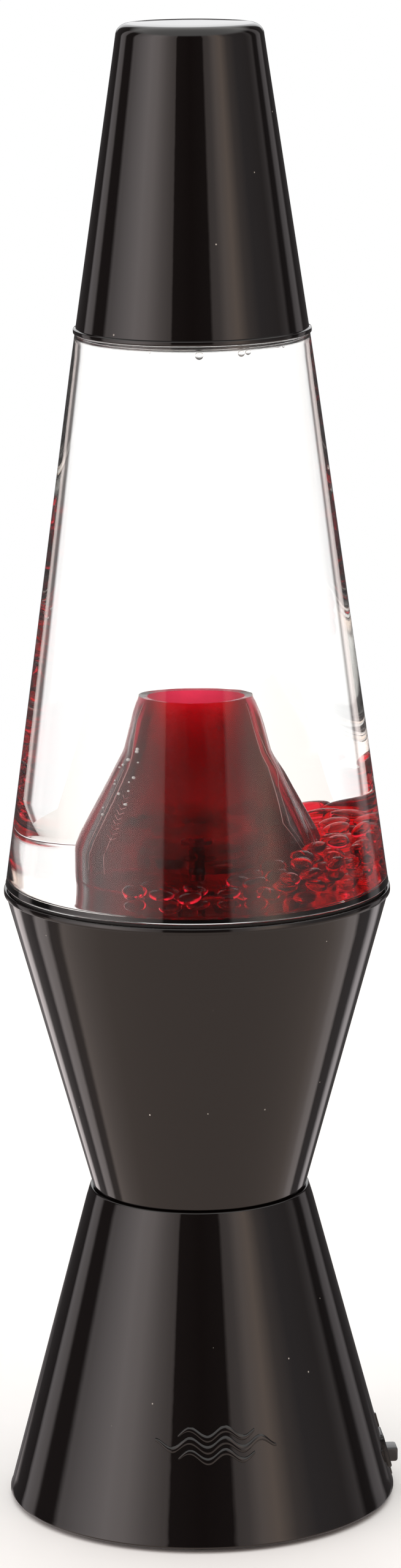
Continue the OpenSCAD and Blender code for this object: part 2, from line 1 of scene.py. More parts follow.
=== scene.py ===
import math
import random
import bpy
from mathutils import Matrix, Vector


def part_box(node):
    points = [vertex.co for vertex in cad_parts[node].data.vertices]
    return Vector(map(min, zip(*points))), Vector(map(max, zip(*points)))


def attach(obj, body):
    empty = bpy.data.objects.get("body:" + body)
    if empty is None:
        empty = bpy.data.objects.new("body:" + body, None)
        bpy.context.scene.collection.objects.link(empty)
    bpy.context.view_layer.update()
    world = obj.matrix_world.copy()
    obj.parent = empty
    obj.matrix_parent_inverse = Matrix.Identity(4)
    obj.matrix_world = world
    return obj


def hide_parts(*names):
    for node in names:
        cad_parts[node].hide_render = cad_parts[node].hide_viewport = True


bl_info = {
    "name": "Volcano Lava Lamp Looks",
    "version": (1, 0, 0),
    "blender": (4, 5, 0),
    "location": "View3D > Sidebar > Lamp",
    "description": "Builds the visible pieces of a volcano lava lamp round its packed frame",
    "category": "Add Mesh",
}

import bmesh
import bpy
from mathutils import Euler, Matrix, Vector, noise

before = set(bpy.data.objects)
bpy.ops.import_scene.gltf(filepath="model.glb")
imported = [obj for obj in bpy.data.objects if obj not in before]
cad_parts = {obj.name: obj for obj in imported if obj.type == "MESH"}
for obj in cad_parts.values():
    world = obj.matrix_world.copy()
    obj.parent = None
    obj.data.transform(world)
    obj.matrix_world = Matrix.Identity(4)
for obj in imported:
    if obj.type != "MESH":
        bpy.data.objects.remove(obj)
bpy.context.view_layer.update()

MM = 0.001
TURN = 2 * math.pi
WELD = 1e-6  # points closer than this are one


# ---------------------------------------------------------------- levels read from the frame

def span(node, axis=2):
    """Lowest and highest coordinate of a CAD node along one axis, in metres."""
    low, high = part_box(node)
    return low[axis], high[axis]


def reach(node):
    """Outer radius of a round CAD node about the lamp's axis, in metres."""
    low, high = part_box(node)
    return max(high[0], high[1], -low[0], -low[1])


TABLE_Z = span("feet")[0]
EDGE_Z, WAIST_Z = span("base_lower")
RIM_Z = span("base_upper")[1]
GLOBE_Z = span("globe")[0]
NECK_TOP_Z = span("globe")[1]
SHOULDER_Z, CAP_TOP_Z = span("cap")
FLOOR_Z = span("globe_floor")[1]
CEILING_Z = span("neck_lid")[0]
VOLCANO_TOP_Z = span("volcano")[1]
FOOT_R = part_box("base_lower")[1][1]
RIM_R = reach("base_upper")
GLOBE_R = reach("globe")
VOLCANO_R = reach("volcano")
NECK_R = reach("neck_lid")
LIP_R = reach("cap")
KNOB_LOW, KNOB_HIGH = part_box("switch_knob")


# ---------------------------------------------------------------- settings

def length(name, description, default, **limits):
    return bpy.props.FloatProperty(
        name=name, description=description, default=default, unit="LENGTH", **limits)


def angle(name, description, degrees):
    return bpy.props.FloatProperty(
        name=name, description=description, default=math.radians(degrees), unit="ROTATION")


def tint(name, description, default):
    return bpy.props.FloatVectorProperty(
        name=name, description=description, default=default, subtype="COLOR", size=3, min=0, max=1)


def count(name, description, default, low, high):
    return bpy.props.IntProperty(name=name, description=description, default=default, min=low, max=high)


class LampSizes(bpy.types.PropertyGroup):
    """Sizes of the visible pieces that the frame leaves open."""

    wall: length("Globe wall", "Thickness of the clear wall", 2.2 * MM, min=1.5 * MM, max=3 * MM)
    shoulder_radius: length("Shoulder radius", "Outer radius of the globe under the cap's lip", 22.6 * MM)
    waist_radius: length("Waist radius", "Outer radius of the lower base at the waist", 21.75 * MM)
    cap_top_radius: length("Cap top radius", "Radius to which the cap's side tapers at its top", 13.8 * MM)
    bead_diameter: length("Bead diameter", "Width of one bead", 4.6 * MM, min=3 * MM, max=6 * MM)
    bead_thickness: length("Bead thickness", "One bead at its middle", 2.5 * MM, min=1.5 * MM, max=4 * MM)
    bead_count: count("Beads", "Most beads that may lie round the volcano", 250, 20, 400)
    round_steps: count("Round steps", "Segments round each turned piece", 224, 48, 360)


class LampColours(bpy.types.PropertyGroup):
    """Colours of the visible finishes."""

    black: tint("Black", "Glossy black of the base and the cap", (0.0026, 0.0015, 0.0014))
    volcano: tint("Volcano red", "Tint of light through one wall of the volcano", (0.74, 0.04, 0.09))
    bead: tint("Bead red", "Tint of light through one bead", (0.7, 0.012, 0.03))
    clear: tint("Clear plastic", "Tint of the globe's clear wall", (0.985, 0.985, 0.98))


class StageSettings(bpy.types.PropertyGroup):
    """Camera, floor and surroundings."""

    distance: length("Camera distance", "Level distance from the lamp's axis to the camera", 1.023)
    height: length("Camera height", "Height of the camera above the table", 0.361)
    pitch: angle("Pitch", "How far the camera looks down", 11.95)
    roll: angle("Roll", "Lean of the camera about its own line of sight", 0.48)
    turn: angle("Turn", "How far round the lamp the camera stands, from the front", -5.0)
    aside: angle("Aside", "How far the camera looks to the right of the lamp's axis", 0.0475)
    lens: bpy.props.FloatProperty(
        name="Lens", description="Focal length on a frame 24 mm tall", default=81.97, min=20, max=200)
    floor_width: length("Floor width", "Width of the pale floor", 0.34)
    floor_length: length("Floor length", "Length of the pale floor", 1.1)


def sizes():
    """The lamp's sizes as set in the scene."""
    return bpy.context.scene.lamp_sizes


def colours():
    """The lamp's colours as set in the scene."""
    return bpy.context.scene.lamp_colours


# ---------------------------------------------------------------- mesh helpers

def new_piece(name, mesh, body, slot, nodes, *finishes):
    """Links a mesh as a piece that rides on a body and stands for CAD nodes."""
    piece = link_new(name, mesh)
    for finish in finishes:
        mesh.materials.append(finish_of(finish))
    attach(piece, body)
    if nodes:
        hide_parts(*nodes)
    return piece


def mesh_from(bm, name, sharp_degrees=32):
    """Turns a bmesh into a smooth-shaded mesh whose corners over sharp_degrees stay sharp."""
    bmesh.ops.recalc_face_normals(bm, faces=bm.faces)
    for face in bm.faces:
        face.smooth = True
    limit = math.radians(sharp_degrees)
    for edge in bm.edges:
        if len(edge.link_faces) == 2 and edge.calc_face_angle(0) > limit:
            edge.smooth = False
    return plain_mesh(bm, name)


def turned(bm, outline, steps):
    """Turns an outline of (radius, height) points about Z and closes it where it meets the axis."""
    rows = []
    for radius, height in outline:
        if radius < WELD:
            rows.append([bm.verts.new((0, 0, height))])
            continue
        rows.append([bm.verts.new(round_point(radius, TURN * k / steps, height)) for k in range(steps)])
    faces = []
    for low, high in zip(rows, rows[1:]):
        for k in range(steps):
            n = (k + 1) % steps
            if len(low) == 1:
                corners = (low[0], high[k], high[n])
            elif len(high) == 1:
                corners = (low[k], low[n], high[0])
            else:
                corners = (low[k], low[n], high[n], high[k])
            faces.append(bm.faces.new(corners))
    return faces


def arc(centre, radius, start, end, steps=8):
    """Points of an arc in the (radius, height) plane; angles in degrees."""
    points = []
    for i in range(steps + 1):
        a = math.radians(start + (end - start) * i / steps)
        points.append((centre[0] + radius * math.cos(a), centre[1] + radius * math.sin(a)))
    return points


def on_path(at, stops):
    """Value at a place on a path of (place, value) stops."""
    for (place, value), (next_place, next_value) in zip(stops, stops[1:]):
        if at <= next_place:
            break
    return value + (next_value - value) * (at - place) / (next_place - place)


def along(a, b, steps):
    """Points from a up to but without b."""
    return [(a[0] + (b[0] - a[0]) * i / steps, a[1] + (b[1] - a[1]) * i / steps) for i in range(steps)]


def rounded(half_w, half_h, radius, steps):
    """Points round a rectangle with rounded corners about the origin."""
    points = []
    for side, end, start in ((1, 1, 0), (-1, 1, 90), (-1, -1, 180), (1, -1, 270)):
        points += arc((side * (half_w - radius), end * (half_h - radius)), radius, start, start + 90, steps)
    return points


def skin(bm, loops):
    """Joins loops of equally many corners, each to the next."""
    for low, high in zip(loops, loops[1:]):
        for k in range(len(low)):
            n = (k + 1) % len(low)
            bm.faces.new((low[k], low[n], high[n], high[k]))


def tube(bm, loops):
    """Joins loops into a closed body with a flat face at each end."""
    skin(bm, loops)
    bm.faces.new(loops[0])
    bm.faces.new(loops[-1])


def block(bm, low, high):
    """Adds a box between two corners and returns its points."""
    made = bmesh.ops.create_cube(bm, size=1)["verts"]
    for v in made:
        v.co = Vector([low[i] + (v.co[i] + 0.5) * (high[i] - low[i]) for i in range(3)])
    return made


def plain_mesh(bm, name):
    """Writes a bmesh to a new mesh as it is."""
    mesh = bpy.data.meshes.new(name)
    bm.to_mesh(mesh)
    bm.free()
    return mesh


def round_point(radius, angle, z):
    """A point at a radius and an angle about Z."""
    return radius * math.cos(angle), radius * math.sin(angle), z


def link_new(name, data):
    """A new object in the scene."""
    thing = bpy.data.objects.new(name, data)
    bpy.context.scene.collection.objects.link(thing)
    return thing


def cut(piece, cutter_mesh):
    """Takes a closed cutter mesh out of a piece and applies it."""
    cutter = link_new("cutter", cutter_mesh)
    modifier = piece.modifiers.new("cut", "BOOLEAN")
    modifier.operation = "DIFFERENCE"
    modifier.solver = "EXACT"
    modifier.object = cutter
    bpy.context.view_layer.update()
    graph = bpy.context.evaluated_depsgraph_get()
    result = bpy.data.meshes.new_from_object(piece.evaluated_get(graph))
    piece.modifiers.clear()
    materials = list(piece.data.materials)
    piece.data = result
    result.materials.clear()
    for material in materials:
        result.materials.append(material)
    bpy.data.objects.remove(cutter)
    bpy.data.meshes.remove(cutter_mesh)


# ---------------------------------------------------------------- shader helpers

def dial(tree, node, **values):
    """Sets a node's plain properties and its inputs by name; a socket is linked instead."""
    for key, value in values.items():
        label = key.replace("_", " ")
        if isinstance(value, bpy.types.NodeSocket):
            tree.links.new(value, node.inputs[label])
        elif hasattr(node, key):
            setattr(node, key, value)
        else:
            node.inputs[label].default_value = value
    return node


def node_in(tree, kind, at=(0, 0), **values):
    """Adds a shader node at a place and sets it up."""
    node = tree.nodes.new(kind)
    node.location = at
    return dial(tree, node, **values)


def noise_in(tree, at, place=None, **values):
    """Adds a noise texture and returns its height; place is where it is read."""
    if place is not None:
        values["Vector"] = place
    return node_in(tree, "ShaderNodeTexNoise", at, **values).outputs["Fac"]


def object_place(tree):
    """Coordinates that stay with the piece, in metres."""
    return node_in(tree, "ShaderNodeTexCoord", (-1100, 0)).outputs["Object"]


def height_of(tree, place):
    """The Z of some coordinates."""
    return node_in(tree, "ShaderNodeSeparateXYZ", (-900, 250), Vector=place).outputs["Z"]


def stretched(tree, place, scale):
    """Coordinates scaled along each axis."""
    return node_in(tree, "ShaderNodeMapping", (-900, 0), Vector=place, Scale=scale).outputs["Vector"]


def math_node(tree, operation, a, b=0.0, c=0.0):
    """A Math node; a, b and c are numbers or sockets."""
    node = node_in(tree, "ShaderNodeMath", operation=operation)
    for socket, value in zip(node.inputs, (a, b, c)):
        fill(tree, socket, value)
    return node.outputs[0]


def fill(tree, socket, value):
    """Links a socket, or sets its plain value."""
    if isinstance(value, bpy.types.NodeSocket):
        tree.links.new(value, socket)
    else:
        socket.default_value = value


def mixed(tree, factor, under, over):
    """Lays one colour over another; a colour is a socket or four numbers."""
    mix = node_in(tree, "ShaderNodeMix", (-250, 200), data_type="RGBA", Factor=factor)
    fill(tree, mix.inputs[6], under)
    fill(tree, mix.inputs[7], over)
    return mix.outputs[2]


def shaded(tree, factor, dark, light):
    """A ramp between two colours."""
    ramp = node_in(tree, "ShaderNodeValToRGB", (-300, 200), Fac=factor)
    for element, colour in zip(ramp.color_ramp.elements, (dark, light)):
        element.color = (*colour, 1)
    return ramp.outputs["Color"]


def times(colour, share):
    """A colour made darker or lighter."""
    return [min(1, c * share) for c in colour]


def new_group(name, inputs, outputs):
    """Starts a group with number sockets and returns it with its two end nodes."""
    group = bpy.data.node_groups.new(name, "ShaderNodeTree")
    for label, value in inputs.items():
        group.interface.new_socket(label, in_out="INPUT", socket_type="NodeSocketFloat").default_value = value
    for label in outputs:
        group.interface.new_socket(label, in_out="OUTPUT", socket_type="NodeSocketFloat")
    return group, node_in(group, "NodeGroupInput", (-800, 0)), node_in(group, "NodeGroupOutput", (600, 0))


def moulded_group():
    """Faint orange peel and smudges of a moulding."""
    name = "moulded_surface"
    if name in bpy.data.node_groups:
        return bpy.data.node_groups[name]
    group, start, end = new_group(
        name, {"Peel": 0.05, "Peel Scale": 700.0, "Roughness": 0.08, "Smudge": 0.05}, ("Height", "Roughness"))
    place = object_place(group)
    peel = noise_in(group, (-500, 100), place, Scale=start.outputs["Peel Scale"], Detail=2.0)
    height = math_node(group, "MULTIPLY", peel, start.outputs["Peel"])
    smudge = noise_in(group, (-500, -250), place, Scale=38.0, Detail=5.0, Roughness=0.6)
    over = math_node(group, "MAXIMUM", math_node(group, "SUBTRACT", smudge, 0.5), 0.0)
    scaled = math_node(group, "MULTIPLY", over, start.outputs["Smudge"])
    dial(group, end, Height=height, Roughness=math_node(group, "ADD", scaled, start.outputs["Roughness"]))
    return group


def dust_group():
    """Sparse pale specks of dust as a mask from 0 to 1."""
    name = "dust_specks"
    if name in bpy.data.node_groups:
        return bpy.data.node_groups[name]
    group, start, end = new_group(name, {"Scale": 260.0, "Amount": 0.04}, ("Mask",))
    cells = node_in(group, "ShaderNodeTexVoronoi", (-500, 0), feature="F1", Vector=object_place(group),
                    Scale=start.outputs["Scale"])
    near = math_node(group, "LESS_THAN", cells.outputs["Distance"], start.outputs["Amount"])
    picked = node_in(group, "ShaderNodeSeparateColor", (-300, -200), Color=cells.outputs["Color"])
    few = math_node(group, "GREATER_THAN", picked.outputs["Red"], 0.72)
    dial(group, end, Mask=math_node(group, "MULTIPLY", near, few))
    return group


def start_material(name):
    """A new node material; returns its tree and its Principled shader."""
    material = bpy.data.materials.new("finish_" + name)
    material.use_nodes = True
    tree = material.node_tree
    return tree, tree.nodes["Principled BSDF"]


def add_bump(tree, shader, height, strength, distance):
    """Lets a height raise and sink the surface in the light."""
    bump = node_in(tree, "ShaderNodeBump", (-200, -300), Height=height, Strength=strength, Distance=distance)
    dial(tree, shader, Normal=bump.outputs["Normal"])


def plastic(name, colour, roughness, peel=0.05, peel_scale=700.0, smudge=0.06, dust=0.0, depth=0.0002):
    """Moulded plastic, from high gloss to fine texture."""
    tree, shader = start_material(name)
    surface = node_in(tree, "ShaderNodeGroup", (-500, -100), node_tree=moulded_group(), Peel=peel,
                      Peel_Scale=peel_scale, Roughness=roughness, Smudge=smudge)
    add_bump(tree, shader, surface.outputs["Height"], 1.0, depth)
    if dust:
        specks = node_in(tree, "ShaderNodeGroup", (-500, 200), node_tree=dust_group(), Amount=dust)
        base = mixed(tree, specks.outputs["Mask"], (*colour, 1), (*DUST, 1))
    else:
        base = shaded(tree, noise_in(tree, (-500, 300), Scale=90.0, Detail=3.0), times(colour, 0.88),
                      times(colour, 1.12))
    dial(tree, shader, Base_Color=base, Roughness=surface.outputs["Roughness"])


def metal(name, colour, roughness):
    """Plated or drawn metal with fine upright tool marks."""
    tree, shader = start_material(name)
    marks = stretched(tree, object_place(tree), (1.0, 1.0, 12.0))
    grain = noise_in(tree, (-500, 0), marks, Scale=900.0, Detail=3.0)
    rough = math_node(tree, "MULTIPLY_ADD", grain, 0.2, roughness - 0.1)
    dial(tree, shader, Metallic=1.0, Base_Color=shaded(tree, grain, times(colour, 0.8), colour),
         Roughness=rough)
    add_bump(tree, shader, grain, 0.25, 0.00004)


def clear_material(name, colour, ior, roughness=0.0, tint=1.0, peel=0.0):
    """Clear plastic or liquid. A low tint stands for a surface that another clear body wets."""
    tree, shader = start_material(name)
    dial(tree, shader, Base_Color=(*colour, 1), Transmission_Weight=1.0, IOR=ior, Roughness=roughness,
         Specular_Tint=(tint, tint, tint, 1))
    if peel:
        wave = noise_in(tree, (-500, -200), object_place(tree), Scale=60.0, Detail=1.5)
        add_bump(tree, shader, wave, 1.0, peel)


def volcano_material():
    """Clear red cast plastic, darker low down and where it slants away, with flow streaks and a grain."""
    tree, shader = start_material("volcano_red")
    place = object_place(tree)
    rise = node_in(tree, "ShaderNodeMapRange", (-700, 300), From_Min=FLOOR_Z, From_Max=VOLCANO_TOP_Z,
                   Value=height_of(tree, place))
    depth = node_in(tree, "ShaderNodeValToRGB", (-450, 300), Fac=rise.outputs["Result"])
    ramp = depth.color_ramp
    red, green, blue = colours().volcano
    for position, share, dull in VOLCANO_DEPTHS:
        element = ramp.elements[position] if position in (0, 1) else ramp.elements.new(position)
        element.color = (red * share, green * dull, blue * dull, 1)
    streak = noise_in(tree, (-700, 0), stretched(tree, place, (1.0, 1.0, 0.22)), Scale=260.0, Detail=4.0,
                      Distortion=1.4)
    slant = node_in(tree, "ShaderNodeLayerWeight", (-700, 500), Blend=0.5)
    dim = node_in(tree, "ShaderNodeMapRange", (-500, 550), From_Min=0.12, From_Max=0.5, To_Min=1.0,
                  To_Max=0.42, Value=slant.outputs["Facing"])
    shade = math_node(tree, "MULTIPLY", math_node(tree, "MULTIPLY_ADD", streak, 0.5, 0.75),
                      dim.outputs["Result"])
    tinted = node_in(tree, "ShaderNodeVectorMath", (-200, 200), operation="SCALE", Scale=shade)
    tree.links.new(depth.outputs["Color"], tinted.inputs[0])
    dial(tree, shader, Base_Color=tinted.outputs[0], Transmission_Weight=1.0, IOR=1.13, Roughness=0.03)
    grain = noise_in(tree, (-700, -300), place, Scale=2600.0, Detail=2.0)
    add_bump(tree, shader, math_node(tree, "MULTIPLY_ADD", streak, 6.0, grain), 0.35, 0.00006)


def battery_wrap():
    """Plain printed wrap: a dark body with a coloured band round one end."""
    tree, shader = start_material("battery_wrap")
    band_z = span("batteries")[1] - 12 * MM
    top = math_node(tree, "GREATER_THAN", height_of(tree, object_place(tree)), band_z)
    wrap = mixed(tree, top, (0.03, 0.035, 0.04, 1), (0.45, 0.32, 0.1, 1))
    dial(tree, shader, Base_Color=wrap, Metallic=0.6, Roughness=0.32)


def make_finishes():
    """Every finish of the lamp."""
    plastic("gloss_black", colours().black, 0.012, peel=0.12, peel_scale=420.0, smudge=0.05, dust=0.045,
            depth=0.00004)
    for name, colour, roughness, options in PLASTICS:
        plastic(name, colour, roughness, **options)
    for name, colour, roughness in METALS:
        metal(name, colour, roughness)
    battery_wrap()
    clear_material("clear_wall", colours().clear, 1.49, peel=0.00002)
    clear_material("clear_wetted", colours().clear, 1.49, tint=0.08)
    clear_material("liquid", (0.995, 0.995, 0.99), 1.33, tint=0.02)
    clear_material("bubble", (1, 1, 1), 1.33)
    clear_material("bead_red", colours().bead, 1.16, roughness=0.02)
    volcano_material()


DUST = (0.35, 0.33, 0.3)
# Height share, then how much of the red and of the other colours is left
VOLCANO_DEPTHS = (
    (0, 0.4, 0.2), (1, 1, 1), (0.3, 0.5, 0.26), (0.62, 0.44, 0.24), (0.86, 0.62, 0.4), (0.95, 0.86, 0.8))
PLASTICS = (
    ("trim_black", (0.009, 0.009, 0.0095), 0.2, {"peel": 0.3, "peel_scale": 2200.0, "depth": 0.00005}),
    ("inner_black", (0.014, 0.014, 0.015), 0.42, {"peel": 0.8, "peel_scale": 3000.0, "depth": 0.00008}),
    ("rubber_black", (0.012, 0.012, 0.012), 0.68, {"peel": 0.9, "peel_scale": 2600.0, "depth": 0.0001}),
    ("lid_brown", (0.035, 0.02, 0.015), 0.12, {"peel": 0.1, "depth": 0.00005}),
    ("reflector_white", (0.8, 0.8, 0.78), 0.3, {"peel": 0.3}),
    ("washer_white", (0.75, 0.74, 0.7), 0.45, {"peel": 0.3}),
    ("board_green", (0.02, 0.13, 0.05), 0.3, {"peel": 0.4}),
    ("board_white", (0.75, 0.77, 0.78), 0.35, {"peel": 0.3}),
    ("led_yellow", (0.85, 0.62, 0.18), 0.25, {"peel": 0.2}),
    ("lead_red", (0.4, 0.015, 0.015), 0.5, {"peel": 0.2}),
    ("lead_black", (0.015, 0.015, 0.02), 0.5, {"peel": 0.2}),
    ("diffuser_grey", (0.23, 0.22, 0.21), 0.5, {"peel": 0.7, "peel_scale": 1500.0}),
    # painted highlight: near-white for the small bubbles on the volcano, standing for their glints
    ("bubble_painted_glint", (0.95, 0.93, 0.93), 0.1, {}),
    # painted highlight: a pale pink for the threads that stand for glints on the volcano's creases
    ("crease_glint_paint", (0.62, 0.34, 0.34), 0.25, {"peel": 0.3}),
)
METALS = (
    ("magnet", (0.62, 0.62, 0.64), 0.22), ("steel", (0.62, 0.63, 0.65), 0.3),
    ("contact_metal", (0.72, 0.72, 0.72), 0.24), ("motor_can", (0.55, 0.56, 0.58), 0.34),
)
NODE_FINISH = {
    "lid_brown": ("neck_lid", "fill_plug"),
    "rubber_black": ("lid_seal", "feet", "seat_gasket"),
    "inner_black": (
        "globe_collar", "motor_bracket", "magnet_carrier", "board_parts", "battery_case", "bottom_plate",
        "battery_door", "switch_body"),
    "bead_red": ("impeller",),
    "magnet": ("impeller_magnets", "drive_magnets"),
    "steel": (
        "impeller_axle", "axle_clip", "waist_screws", "bracket_screws", "motor_shaft", "board_screws",
        "case_screws", "plate_screws", "hinge_pin", "door_screw", "switch_screws"),
    "washer_white": ("thrust_washer",), "board_white": ("led_board",), "led_yellow": ("leds",),
    "reflector_white": ("reflector",), "motor_can": ("motor",), "board_green": ("control_board",),
    "battery_wrap": ("batteries",), "contact_metal": ("battery_springs", "door_contacts"),
    "lead_red": ("lower_leads",), "lead_black": ("upper_leads",), "diffuser_grey": ("diffuser",),
}


def finish_of(name):
    """The material of a finish."""
    return bpy.data.materials["finish_" + name]


# ---------------------------------------------------------------- operators

class LAMP_OT_finishes(bpy.types.Operator):
    """Makes every finish and gives each inner CAD node its own"""

    bl_idname = "lamp.finishes"
    bl_label = "Finishes"

    def execute(self, context):
        make_finishes()
        for finish, nodes in NODE_FINISH.items():
            for node in nodes:
                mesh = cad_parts[node].data
                mesh.materials.clear()
                mesh.materials.append(finish_of(finish))
        return {"FINISHED"}


class LAMP_OT_stage(bpy.types.Operator):
    """Sets up the camera, the pale floor and the surroundings"""

    bl_idname = "lamp.stage"
    bl_label = "Stage"

    def execute(self, context):
        settings = context.scene.lamp_stage
        self.add_camera(context, settings)
        self.add_floor(context, settings)
        self.add_world(context, settings)
        context.scene.view_settings.view_transform = "Standard"
        context.scene.view_settings.look = "None"
        for setting, value in LIGHT_PATHS.items():
            setattr(context.scene.cycles, setting, value)
        return {"FINISHED"}

    def add_camera(self, context, settings):
        camera = bpy.data.cameras.new("camera")
        camera.sensor_fit = "VERTICAL"
        camera.sensor_height = 24
        camera.lens = settings.lens
        camera.clip_start = 0.05
        camera.clip_end = 20
        holder = link_new("camera", camera)
        spot = Vector((math.sin(settings.turn) * settings.distance,
                       -math.cos(settings.turn) * settings.distance, settings.height))
        aim = (Matrix.Rotation(settings.turn - settings.aside, 4, "Z")
               @ Matrix.Rotation(math.pi / 2 - settings.pitch, 4, "X")
               @ Matrix.Rotation(-settings.roll, 4, "Z"))
        holder.matrix_world = Matrix.Translation(spot) @ aim
        context.scene.camera = holder

    def add_floor(self, context, settings):
        bm = bmesh.new()
        corner = 60 * MM
        outline = rounded(settings.floor_width / 2, settings.floor_length / 2, corner, 6)
        bm.faces.new([bm.verts.new((x, y, TABLE_Z)) for x, y in outline])
        bm.transform(Matrix.Rotation(settings.turn, 4, "Z"))
        mesh = plain_mesh(bm, "floor")
        tree, shader = start_material("pale_floor")
        grain = noise_in(tree, (-500, 0), Scale=60.0, Detail=3.0)
        dial(tree, shader, Base_Color=shaded(tree, grain, (0.9, 0.895, 0.885), (0.93, 0.925, 0.915)),
             Roughness=0.8)
        mesh.materials.append(finish_of("pale_floor"))
        floor = link_new("floor", mesh)
        floor.visible_glossy = False

    def add_world(self, context, settings):
        """Two soft panels with a dark gap between them in front, dark wings at the sides, a white
        backdrop that only clear pieces pass on, and plain white where the camera looks directly."""
        world = bpy.data.worlds.new("studio")
        world.use_nodes = True
        context.scene.world = world
        tree = world.node_tree
        tree.nodes.clear()
        coords = node_in(tree, "ShaderNodeTexCoord")
        turned_to = node_in(tree, "ShaderNodeVectorRotate", (-900, 0), rotation_type="Z_AXIS",
                            Vector=coords.outputs["Generated"], Angle=-settings.turn)
        split = node_in(tree, "ShaderNodeSeparateXYZ", Vector=turned_to.outputs["Vector"])
        height = split.outputs["Z"]
        angle = math_node(tree, "ARCTAN2", split.outputs["X"],
                          math_node(tree, "MULTIPLY", split.outputs["Y"], -1.0))
        around = math_node(tree, "MULTIPLY_ADD", angle, 1 / TURN, 0.5)
        from_front = math_node(tree, "ABSOLUTE", angle)
        path = node_in(tree, "ShaderNodeLightPath")

        low = self.step_up(tree, height, -0.2, -0.3)
        panels, low_panels = [self.ramp_round(tree, around, stops) for stops in (PANEL_STOPS, LOW_STOPS)]
        colour = mixed(tree, low, panels, low_panels)
        behind = self.step_up(tree, from_front, math.radians(131), math.radians(135))
        mirrored = math_node(tree, "SUBTRACT", path.outputs["Is Glossy Ray"],
                             path.outputs["Is Transmission Ray"])
        passed_on = math_node(tree, "SUBTRACT", 1.0, math_node(tree, "MAXIMUM", mirrored, 0.0))
        far_side = self.step_up(tree, from_front, math.radians(160), math.radians(168))
        top_glow = math_node(tree, "MULTIPLY", far_side, self.step_up(tree, height, 0.02, 0.05))
        backdrop = math_node(tree, "MAXIMUM", math_node(tree, "MULTIPLY", behind, passed_on), top_glow)
        colour = mixed(tree, backdrop, colour, self.light(BACKDROP))
        colour = mixed(tree, self.step_up(tree, height, 0.5, 0.75), colour, self.light(OVERHEAD))

        lit = node_in(tree, "ShaderNodeBackground", Color=colour, Strength=PANEL_PEAK)
        plain = node_in(tree, "ShaderNodeBackground", Color=(1, 1, 1, 1))
        mix = node_in(tree, "ShaderNodeMixShader", Fac=path.outputs["Is Camera Ray"])
        tree.links.new(lit.outputs[0], mix.inputs[1])
        tree.links.new(plain.outputs[0], mix.inputs[2])
        node_in(tree, "ShaderNodeOutputWorld", Surface=mix.outputs[0])

    def light(self, colour):
        """A brightness as a colour that the panels' strength brings back up."""
        return (*[c / PANEL_PEAK for c in colour], 1)

    def ramp_round(self, tree, around, stops):
        """A colour ramp round the lamp; each stop is degrees from the camera's side, brightness, warmth."""
        node = node_in(tree, "ShaderNodeValToRGB", Fac=around)
        ramp = node.color_ramp
        ramp.elements[0].position = 0.0
        ramp.elements[1].position = 1.0
        for degrees, _, _ in stops[1:-1]:
            ramp.elements.new(0.5 + degrees / 360)
        for element, (_, light, warm) in zip(ramp.elements, stops):
            red, green, blue = PANEL_HUE
            element.color = self.light((light * red * (1 + warm), light * green, light * blue * (1 - warm)))
        return node.outputs["Color"]

    def step_up(self, tree, value, start, end):
        """0 before start, 1 after end, and smooth between."""
        return node_in(tree, "ShaderNodeMapRange", interpolation_type="SMOOTHSTEP", From_Min=start,
                       From_Max=end, Value=value).outputs["Result"]


# How far light is followed through the clear pieces
LIGHT_PATHS = {
    "max_bounces": 32, "transmission_bounces": 32, "glossy_bounces": 8, "diffuse_bounces": 4,
    "transparent_max_bounces": 16, "sample_clamp_indirect": 6,
}
PANEL_PEAK = 3.5
PANEL_HUE = (1.0, 0.92, 0.93)
BACKDROP = (1.22, 1.22, 1.23)
OVERHEAD = (1.45, 1.43, 1.4)
# Light round the lamp: degrees from the camera's side, brightness, warmth
PANEL_STOPS = (
    (-180, 0.07, 0.0), (-135, 0.07, 0.0), (-131, 0.75, 0.0), (-119, 0.75, 0.02), (-115, 0.08, 0.02),
    (-99, 0.1, 0.02), (-94, 1.1, 0.02), (-90, 1.2, 0.02), (-74, 2.0, 0.02), (-60, 2.7, 0.03),
    (-48, 2.45, 0.04), (-34, 1.5, 0.05), (-23, 1.0, 0.06), (-21.5, 1.1, 0.06), (-20, 0.13, 0.05),
    (0, 0.08, 0.05), (19, 0.12, 0.05), (20.5, 0.8, 0.06), (28, 0.95, 0.06), (36, 1.55, 0.1),
    (46, 1.75, 0.16), (58, 0.8, 0.08), (72, 0.45, 0.0), (96, 0.3, 0.02), (108, 0.45, 0.02),
    (113, 0.08, 0.0), (122, 0.08, 0.0), (127, 0.5, 0.0), (137, 0.5, 0.0), (142, 0.07, 0.0),
    (180, 0.07, 0.0))
# Light from below the level of the table's edge, in the same terms
LOW_STOPS = (
    (-180, 0.07, 0.0), (-160, 0.3, 0.0), (-156, 1.6, 0.02), (-148, 1.5, 0.02), (-144, 0.25, 0.02),
    (-131, 0.2, 0.02), (-127, 1.3, 0.03), (-118, 1.3, 0.04), (-114, 0.3, 0.06), (-106, 0.35, 0.08),
    (-102, 1.2, 0.1), (-90, 1.05, 0.1), (-70, 0.88, 0.12), (0, 0.85, 0.12), (100, 0.82, 0.12),
    (112, 0.95, 0.08), (117, 1.25, 0.05), (124, 1.2, 0.04), (128, 0.2, 0.02), (140, 0.15, 0.0),
    (146, 1.0, 0.0), (152, 1.0, 0.0), (158, 0.1, 0.0), (180, 0.07, 0.0))


